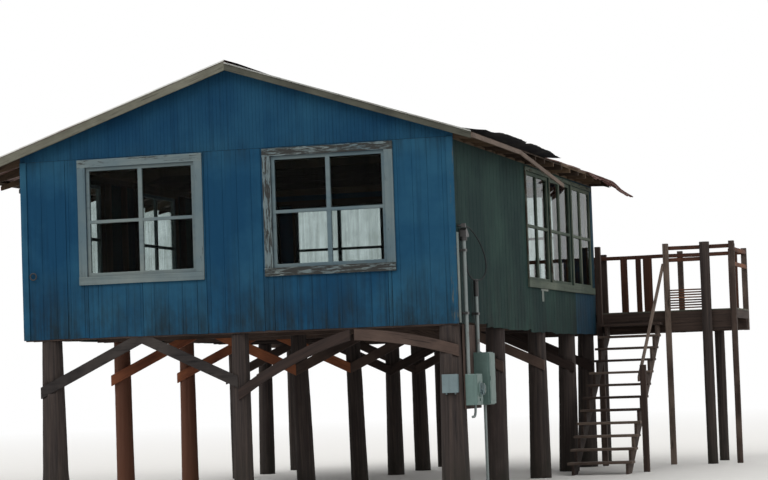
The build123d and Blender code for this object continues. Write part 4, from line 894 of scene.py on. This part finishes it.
source = cad_mesh("bent_sheet")
bm = bmesh.new()
for number, group in enumerate(sorted(islands(source), key=lambda g: -group_centre(g)[1])):
    tree = solid_tree(group)
    low, high = group_box(group)
    x0, x1 = low[0] + SHEET_INSET, high[0] - SHEET_INSET
    y0, y1 = low[1] + SHEET_INSET, high[1] - SHEET_INSET
    xs = [x0 + (EAVE_X - x0) * i / ROOF_COLUMNS for i in range(ROOF_COLUMNS)]
    xs += [EAVE_X + (x1 - EAVE_X) * i / LOOSE_COLUMNS for i in range(LOOSE_COLUMNS + 1)]
    rows = []
    for i in range(RIBS * len(RIB) + 1):
        share, rise = RIB[i % len(RIB)]
        y = min(y1, y0 + (y1 - y0) * (i // len(RIB) + share) / RIBS)
        torn = TEAR * max(0.0, noise.noise(Vector((y * 6, number, 0.0))))
        torn += FRAY * abs(noise.noise(Vector((y * 30, 4, 0))))
        row = []
        for x in xs:
            loose = max(0.0, (x - EAVE_X) / (x1 - EAVE_X))
            flutter = noise.noise(Vector((x * 5, y * 4, number))) * FLUTTER * loose
            row.append((x - torn * loose, y, top_of(tree, x, y) + rise * RIB_HEIGHT + flutter))
        rows.append(row)
    add_sheet(bm, rows, SHEET_STEEL)
source.free()
add_piece("bent_ribbed_sheets", bm, "bent_metal", ("bent_sheet",))

# The lifted flap of roofing felt, with a ragged and torn free edge that curls
FLAP_ROWS = 140
FLAP_COLUMNS = 12
FLAP_INSET = 0.001
FLAP_FELT = 0.004
EDGE_ROOM = 0.035
source = cad_mesh("felt_flap")
tree = BVHTree.FromBMesh(source)
source.free()
low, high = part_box("felt_flap")
rows = []
for j in range(FLAP_ROWS + 1):
    y = low[1] + FLAP_INSET + (high[1] - low[1] - 2 * FLAP_INSET) * j / FLAP_ROWS
    ragged = 0.03 * noise.noise(Vector((y * 2.1, 0, 0)))
    ragged += 0.014 * noise.noise(Vector((y * 13, 2, 0)))
    tear = 0.16 * max(0.0, noise.noise(Vector((y * 2.7, 7, 0))) - 0.32)
    reach = high[0] - low[0] - EDGE_ROOM + min(EDGE_ROOM - FLAP_INSET, ragged) - tear
    row = []
    for i in range(FLAP_COLUMNS + 1):
        x = low[0] + FLAP_INSET + reach * i / FLAP_COLUMNS
        curl = noise.noise(Vector((x * 4, y * 2.6, 1))) * 0.016 * i / FLAP_COLUMNS
        row.append((x, y, top_of(tree, x, y) + curl))
    rows.append(row)
bm = bmesh.new()
add_sheet(bm, rows, FLAP_FELT)
add_piece("ragged_flap", bm, "felt", ("felt_flap",), smooth=True)

# Roll roofing in strips that lap down the slope
STRIPS = 4
STRIP_STEP = 0.86
STRIP_WIDTH = 0.94
STRIP_ROWS = 120
STRIP_COLUMNS = 8
STRIP_FELT = 0.002
LAP_RISE = 0.003
LAP_DROP = 0.0035
low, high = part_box("roofing_felt")
bm = bmesh.new()
for number in range(STRIPS):
    end = high[0] - number * STRIP_STEP
    start = max(low[0], end - STRIP_WIDTH)
    rows = []
    for j in range(STRIP_ROWS + 1):
        y = low[1] + (high[1] - low[1]) * j / STRIP_ROWS
        edge = end + 0.007 * noise.noise(Vector((y * 1.7, number, 3))) - 0.006
        row = []
        for i in range(STRIP_COLUMNS + 1):
            x = start + (edge - start) * i / STRIP_COLUMNS
            wrinkle = 0.0016 * noise.noise(Vector((x * 6, y * 3, number)))
            lap = LAP_RISE * i / STRIP_COLUMNS - LAP_DROP
            row.append((x, y, high[2] - (x - low[0]) * ROOF_SLOPE + lap + wrinkle))
        rows.append(row)
    add_sheet(bm, rows, STRIP_FELT)
add_piece("felt_strips", bm, "felt", ("roofing_felt",))


def eased_block(bm, low, high, radius):
    """A box with rounded edges."""
    verts = add_block(bm, low, high)
    edges = list(dict.fromkeys(e for v in verts for e in v.link_edges))
    bmesh.ops.bevel(bm, geom=edges, offset=radius, segments=2, profile=0.6, affect="EDGES")


def turned(bm, centre, axis, profile, sides):
    """A turned form along an axis, from pairs of distance and radius."""
    rings = []
    for along, radius in profile:
        ring = []
        for i in range(sides):
            angle = 2 * math.pi * i / sides
            place = list(centre)
            place[axis] += along
            place[(axis + 1) % 3] += radius * math.cos(angle)
            place[(axis + 2) % 3] += radius * math.sin(angle)
            ring.append(bm.verts.new(place))
        rings.append(ring)
    join_rings(bm, rings)


SCREW = ((-0.002, 0.0045), (0.002, 0.0045), (0.0035, 0.003))
SCREW_SIDES = 6

# Meter: a pressed box with a ring, a dial under a glass cover and a hasp
DIAL_DEPTH = 0.07
METER_RING = ((-0.002, 0.102), (0.008, 0.102), (0.014, 0.096), (0.018, 0.089), (0.012, 0.086))
METER_FACE = ((0.013, 0.084), (0.024, 0.084), (0.026, 0.08))
METER_DISC = ((0.0, 0.03), (0.012, 0.03), (0.013, 0.004))
METER_DOME = (
    (0.014, 0.083), (0.045, 0.081), (0.06, 0.074), (0.068, 0.055), (DIAL_DEPTH, 0.02),
    (DIAL_DEPTH, 0.002),
)
METER_FACE_TOP = 0.026
low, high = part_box("meter_box")
face_x = high[0] - DIAL_DEPTH
dial = (face_x, (low[1] + high[1]) / 2, (low[2] + high[2]) / 2)
bm = bmesh.new()
eased_block(bm, low, (face_x - 0.004, high[1], high[2]), 0.008)
lid_low = (face_x - 0.006, low[1] + 0.008, low[2] + 0.03)
eased_block(bm, lid_low, (face_x, high[1] - 0.008, high[2] - 0.01), 0.003)
turned(bm, dial, 0, METER_RING, 44)
hasp_low = (face_x, dial[1] - 0.014, low[2] + 0.05)
eased_block(bm, hasp_low, (face_x + 0.012, dial[1] + 0.014, low[2] + 0.085), 0.003)
for y in (low[1] + 0.02, high[1] - 0.02):
    for z in (low[2] + 0.045, high[2] - 0.025):
        turned(bm, (face_x, y, z), 0, SCREW, SCREW_SIDES)
add_piece("meter_housing", bm, "grey_enamel", ("meter_box",))
bm = bmesh.new()
turned(bm, dial, 0, METER_FACE, 40)
register_low = (face_x + METER_FACE_TOP, dial[1] - 0.05, dial[2] + 0.012)
eased_block(bm, register_low, (face_x + 0.03, dial[1] + 0.05, dial[2] + 0.05), 0.001)
turned(bm, (face_x + METER_FACE_TOP, dial[1], dial[2] - 0.03), 0, METER_DISC, 28)
add_piece("meter_dial", bm, "pale_enamel")
bm = bmesh.new()
turned(bm, dial, 0, METER_DOME, 44)
add_piece("meter_cover", bm, "window_glass", smooth=True)

# Panel: a taller box with a raised door, hinges and a latch
COVER_DEPTH = 0.025
COVER_INSET = 0.012
PANEL_SCREW_INSET = 0.006
HINGE = ((0.0, 0.006), (0.06, 0.006))
HINGE_SHARES = (0.18, 0.5, 0.82)
low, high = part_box("panel_box")
face_x = high[0] - COVER_DEPTH
bm = bmesh.new()
eased_block(bm, low, (face_x, high[1], high[2]), 0.006)
door_low = (face_x - 0.002, low[1] + COVER_INSET, low[2] + COVER_INSET)
eased_block(bm, door_low, (high[0], high[1] - COVER_INSET, high[2] - COVER_INSET), 0.005)
pressed_low = (high[0] - 0.004, low[1] + 0.05, low[2] + 0.06)
eased_block(bm, pressed_low, (high[0] + 0.003, high[1] - 0.05, high[2] - 0.06), 0.003)
for share in HINGE_SHARES:
    z = low[2] + (high[2] - low[2]) * share
    turned(bm, (high[0] - 0.006, high[1] - 0.011, z - 0.03), 2, HINGE, 14)
latch_z = (low[2] + high[2]) / 2
latch_low = (high[0], low[1] + 0.018, latch_z - 0.03)
eased_block(bm, latch_low, (high[0] + 0.009, low[1] + 0.04, latch_z + 0.03), 0.003)
for y in (low[1] + PANEL_SCREW_INSET, high[1] - PANEL_SCREW_INSET):
    for z in (low[2] + PANEL_SCREW_INSET, high[2] - PANEL_SCREW_INSET):
        turned(bm, (face_x, y, z), 0, SCREW, SCREW_SIDES)
add_piece("panel_housing", bm, "grey_enamel", ("panel_box",))

# Junction box: a lid with four screws and two small feet under it
LID = 0.006
BODY_INSET = 0.003
LID_SCREW = ((0.0, 0.003), (0.0015, 0.0045), (0.004, 0.0045))
LID_SCREW_INSET = 0.016
FOOT = ((0.0, 0.009), (0.004, 0.011), (0.024, 0.011))
FOOT_INSET = 0.045
low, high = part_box("junction_box")
bm = bmesh.new()
body_low = (low[0] + BODY_INSET, low[1] + LID, low[2] + BODY_INSET)
eased_block(bm, body_low, (high[0] - BODY_INSET, high[1], high[2] - BODY_INSET), 0.006)
eased_block(bm, low, (high[0], low[1] + 2 * LID, high[2]), 0.004)
for x in (low[0] + LID_SCREW_INSET, high[0] - LID_SCREW_INSET):
    for z in (low[2] + LID_SCREW_INSET, high[2] - LID_SCREW_INSET):
        turned(bm, (x, low[1] - 0.001, z), 1, LID_SCREW, SCREW_SIDES)
for x in (low[0] + FOOT_INSET, high[0] - FOOT_INSET):
    turned(bm, (x, low[1] + FOOT_INSET, low[2] - 0.02), 2, FOOT, 18)
add_piece("junction_housing", bm, "pale_enamel", ("junction_box",))

# Thin trim that the photo shows: flashing along the front rakes, its metal made pale as a painted
# highlight of its sky-lit top edge, and below a strip at the right corner and a scrap of board
# under the right sill
FLASHING_FRONT = -0.309
FLASHING_BACK = -0.29
FLASHING_HEIGHT = 0.018
FLASHING_LIP = 0.008
FLASHING_STEPS = 48
RAFTER_TOP_AT_WALL = 4.8079
FRAME_HALF = 3.0565
bm = bmesh.new()
# Each rake's side, its overhang past the frame and the flashing's height over the rafters
for side, overhang, base in ((-1, 0.9, 0.045), (1, 0.3, 0.012)):
    rings = []
    for i in range(FLASHING_STEPS + 1):
        inward = -overhang + (FRAME_HALF + overhang) * i / FLASHING_STEPS
        x = MIDDLE_X + side * (FRAME_HALF - inward)
        unevenness = 0.002 * noise.noise(Vector((x * 3, side, 0)))
        z = RAFTER_TOP_AT_WALL + inward * ROOF_SLOPE + base + unevenness
        corners = (
            (FLASHING_FRONT, z),
            (FLASHING_BACK, z + FLASHING_LIP),
            (FLASHING_BACK, z + FLASHING_HEIGHT),
            (FLASHING_FRONT, z + FLASHING_HEIGHT),
        )
        rings.append([bm.verts.new((x, *corner)) for corner in corners])
    join_rings(bm, rings)
add_piece("rake_flashing", bm, "bright_edge")

TRIM_BACK_X = 0.1565
LOOSE_TRIM = (
    ((TRIM_BACK_X, -0.152, 2.262), (0.166, -0.062, 3.44)),
    ((TRIM_BACK_X, 4.8, 2.806), (0.166, 5.28, 2.838)),
    ((TRIM_BACK_X, 4.87, 2.645), (0.163, 4.985, 2.83)),
)
bm = bmesh.new()
for low, high in LOOSE_TRIM:
    eased_block(bm, low, high, 0.002)
weather("loose_trim", bm, "pale_trim", "trim", bevel=0, wobble=0.002)

# CAD nodes that stay and take a material
for node, material in (
    ("window_glass", "window_glass"),
    ("roof_sheets_left", "roof_metal"),
    ("roof_sheets_right", "roof_metal"),
    ("ridge_cap", "edge_metal"),
    ("conduits", "galvanised"),
    ("pipe_fittings", "iron"),
    ("weatherhead", "iron"),
):
    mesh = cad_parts[node].data
    mesh.materials.clear()
    mesh.materials.append(MATERIALS[material])

# Service loop: one smooth line through the route's points
LOOP_POINTS = [
    (0.240, -0.045, 3.525),
    (0.240, 0.105, 3.525),
    (0.262, 0.270, 3.470),
    (0.292, 0.415, 3.385),
    (0.326, 0.530, 3.260),
    (0.352, 0.600, 3.110),
    (0.358, 0.610, 2.970),
    (0.336, 0.530, 2.860),
    (0.300, 0.400, 2.815),
    (0.262, 0.260, 2.820),
    (0.232, 0.140, 2.880),
    (0.217, 0.085, 3.000),
    (0.213, 0.075, 3.140),
    (0.213, 0.080, 3.270),
    (0.213, 0.080, 3.380),
]
LOOP_RADIUS = 0.008
curve = bpy.data.curves.new("service_cable", "CURVE")
curve.dimensions = "3D"
spline = curve.splines.new("NURBS")
spline.points.add(len(LOOP_POINTS) - 1)
for point, place in zip(spline.points, LOOP_POINTS):
    point.co = (*place, 1)
spline.order_u = 3
spline.use_endpoint_u = True
spline.resolution_u = 8
curve.bevel_depth = LOOP_RADIUS
curve.bevel_resolution = 4
curve.use_fill_caps = True
cable = bpy.data.objects.new("service_cable", curve)
bpy.context.scene.collection.objects.link(cable)
curve.materials.append(MATERIALS["cable"])
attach(cable, "root")
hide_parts("service_loop")

# Floor and background
FLOOR_REACH = 300.0
FADE_START = 14.0
FADE_END = 60.0


def floor_material():
    """A pale floor that fades to the white background far away and isn't seen from below."""
    s = Shader("stage_floor", Roughness=0.9)
    far = s.add("VectorMath", operation="LENGTH")
    s.put(far.inputs[0], s.place)
    fade = s.ramp(far.outputs["Value"], FADE_START, FADE_END)
    s.finish(s.mix(s.noise(s.place, 3.0, 3, 0.6), rgb(214, 212, 208), rgb(222, 220, 216)))
    white = s.add("Emission", {"Color": (1.0, 1.0, 1.0), "Strength": 1.0})
    white_share = s.times(fade, s.add("LightPath").outputs["Is Camera Ray"])
    above = s.add("MixShader", {0: white_share, 1: s.surface.outputs[0], 2: white.outputs[0]})
    clear = s.add("BsdfTransparent")
    back = s.add("NewGeometry").outputs["Backfacing"]
    last = s.add("MixShader", {0: back, 1: above.outputs[0], 2: clear.outputs[0]})
    s.tree.links.new(last.outputs[0], s.tree.nodes["Material Output"].inputs["Surface"])
    return s.material


bm = bmesh.new()
corners = ((-1, -1), (1, -1), (1, 1), (-1, 1))
bm.faces.new([bm.verts.new((x * FLOOR_REACH, y * FLOOR_REACH, 0.0)) for x, y in corners])
floor_mesh = bpy.data.meshes.new("stage_floor")
bm.to_mesh(floor_mesh)
bm.free()
floor_mesh.materials.append(floor_material())
floor = bpy.data.objects.new("stage_floor", floor_mesh)
bpy.context.scene.collection.objects.link(floor)

# The world lights the object at one level, and the camera and clear surfaces see it white
AMBIENT = 0.62
world = bpy.data.worlds.new("studio")
bpy.context.scene.world = world
world.use_nodes = True
tree = world.node_tree
sky = tree.nodes["Background"]
sky.inputs["Color"].default_value = (1.0, 1.0, 1.0, 1.0)
paths = tree.nodes.new("ShaderNodeLightPath")
seen = paths.outputs["Is Camera Ray"]
for ray in ("Is Glossy Ray", "Is Transmission Ray"):
    either = tree.nodes.new("ShaderNodeMath")
    either.operation = "MAXIMUM"
    tree.links.new(seen, either.inputs[0])
    tree.links.new(paths.outputs[ray], either.inputs[1])
    seen = either.outputs[0]
level = tree.nodes.new("ShaderNodeMapRange")
tree.links.new(seen, level.inputs["Value"])
level.inputs["To Min"].default_value = AMBIENT
level.inputs["To Max"].default_value = 1.0
tree.links.new(level.outputs[0], sky.inputs["Strength"])


def sun(name, azimuth, elevation, strength, softness):
    """A soft distant lamp; azimuth 0 shines along +Y."""
    lamp = bpy.data.lights.new(name, "SUN")
    lamp.energy = strength
    lamp.angle = math.radians(softness)
    obj = bpy.data.objects.new(name, lamp)
    a, e = math.radians(azimuth), math.radians(elevation)
    toward = Vector((-math.sin(a) * math.cos(e), math.cos(a) * math.cos(e), -math.sin(e)))
    obj.rotation_mode = "QUATERNION"
    obj.rotation_quaternion = toward.to_track_quat("-Z", "Y")
    bpy.context.scene.collection.objects.link(obj)


sun("key", -25, 42, 1.3, 40)
sun("fill", 70, 30, 0.7, 60)
sun("rim", 190, 35, 0.6, 60)

# Camera: the photograph's own place, turn and lens
CAMERA_AT = Vector((7.776, -29.648, 1.567))
CAMERA_TURN = 0.2836
CAMERA_LIFT = 0.059
CAMERA_ROLL = -0.0342
FOCAL_PIXELS = 2350.0
IMAGE_WIDTH = 768.0
SENSOR = 36.0
CLIP_END = 2000.0
level_share = math.cos(CAMERA_LIFT)
forward = Vector((
    -math.sin(CAMERA_TURN) * level_share,
    math.cos(CAMERA_TURN) * level_share,
    math.sin(CAMERA_LIFT),
))
right = forward.cross(Vector((0, 0, 1))).normalized()
up = right.cross(forward)
right_turned = right * math.cos(CAMERA_ROLL) + up * math.sin(CAMERA_ROLL)
up_turned = up * math.cos(CAMERA_ROLL) - right * math.sin(CAMERA_ROLL)
turn = Matrix((right_turned, up_turned, -forward)).transposed().to_4x4()
camera_data = bpy.data.cameras.new("camera")
camera_data.sensor_width = SENSOR
camera_data.lens = FOCAL_PIXELS / IMAGE_WIDTH * SENSOR
camera_data.clip_end = CLIP_END
camera = bpy.data.objects.new("camera", camera_data)
bpy.context.scene.collection.objects.link(camera)
camera.matrix_world = Matrix.Translation(CAMERA_AT) @ turn
bpy.context.scene.camera = camera
bpy.context.scene.view_settings.view_transform = "Standard"
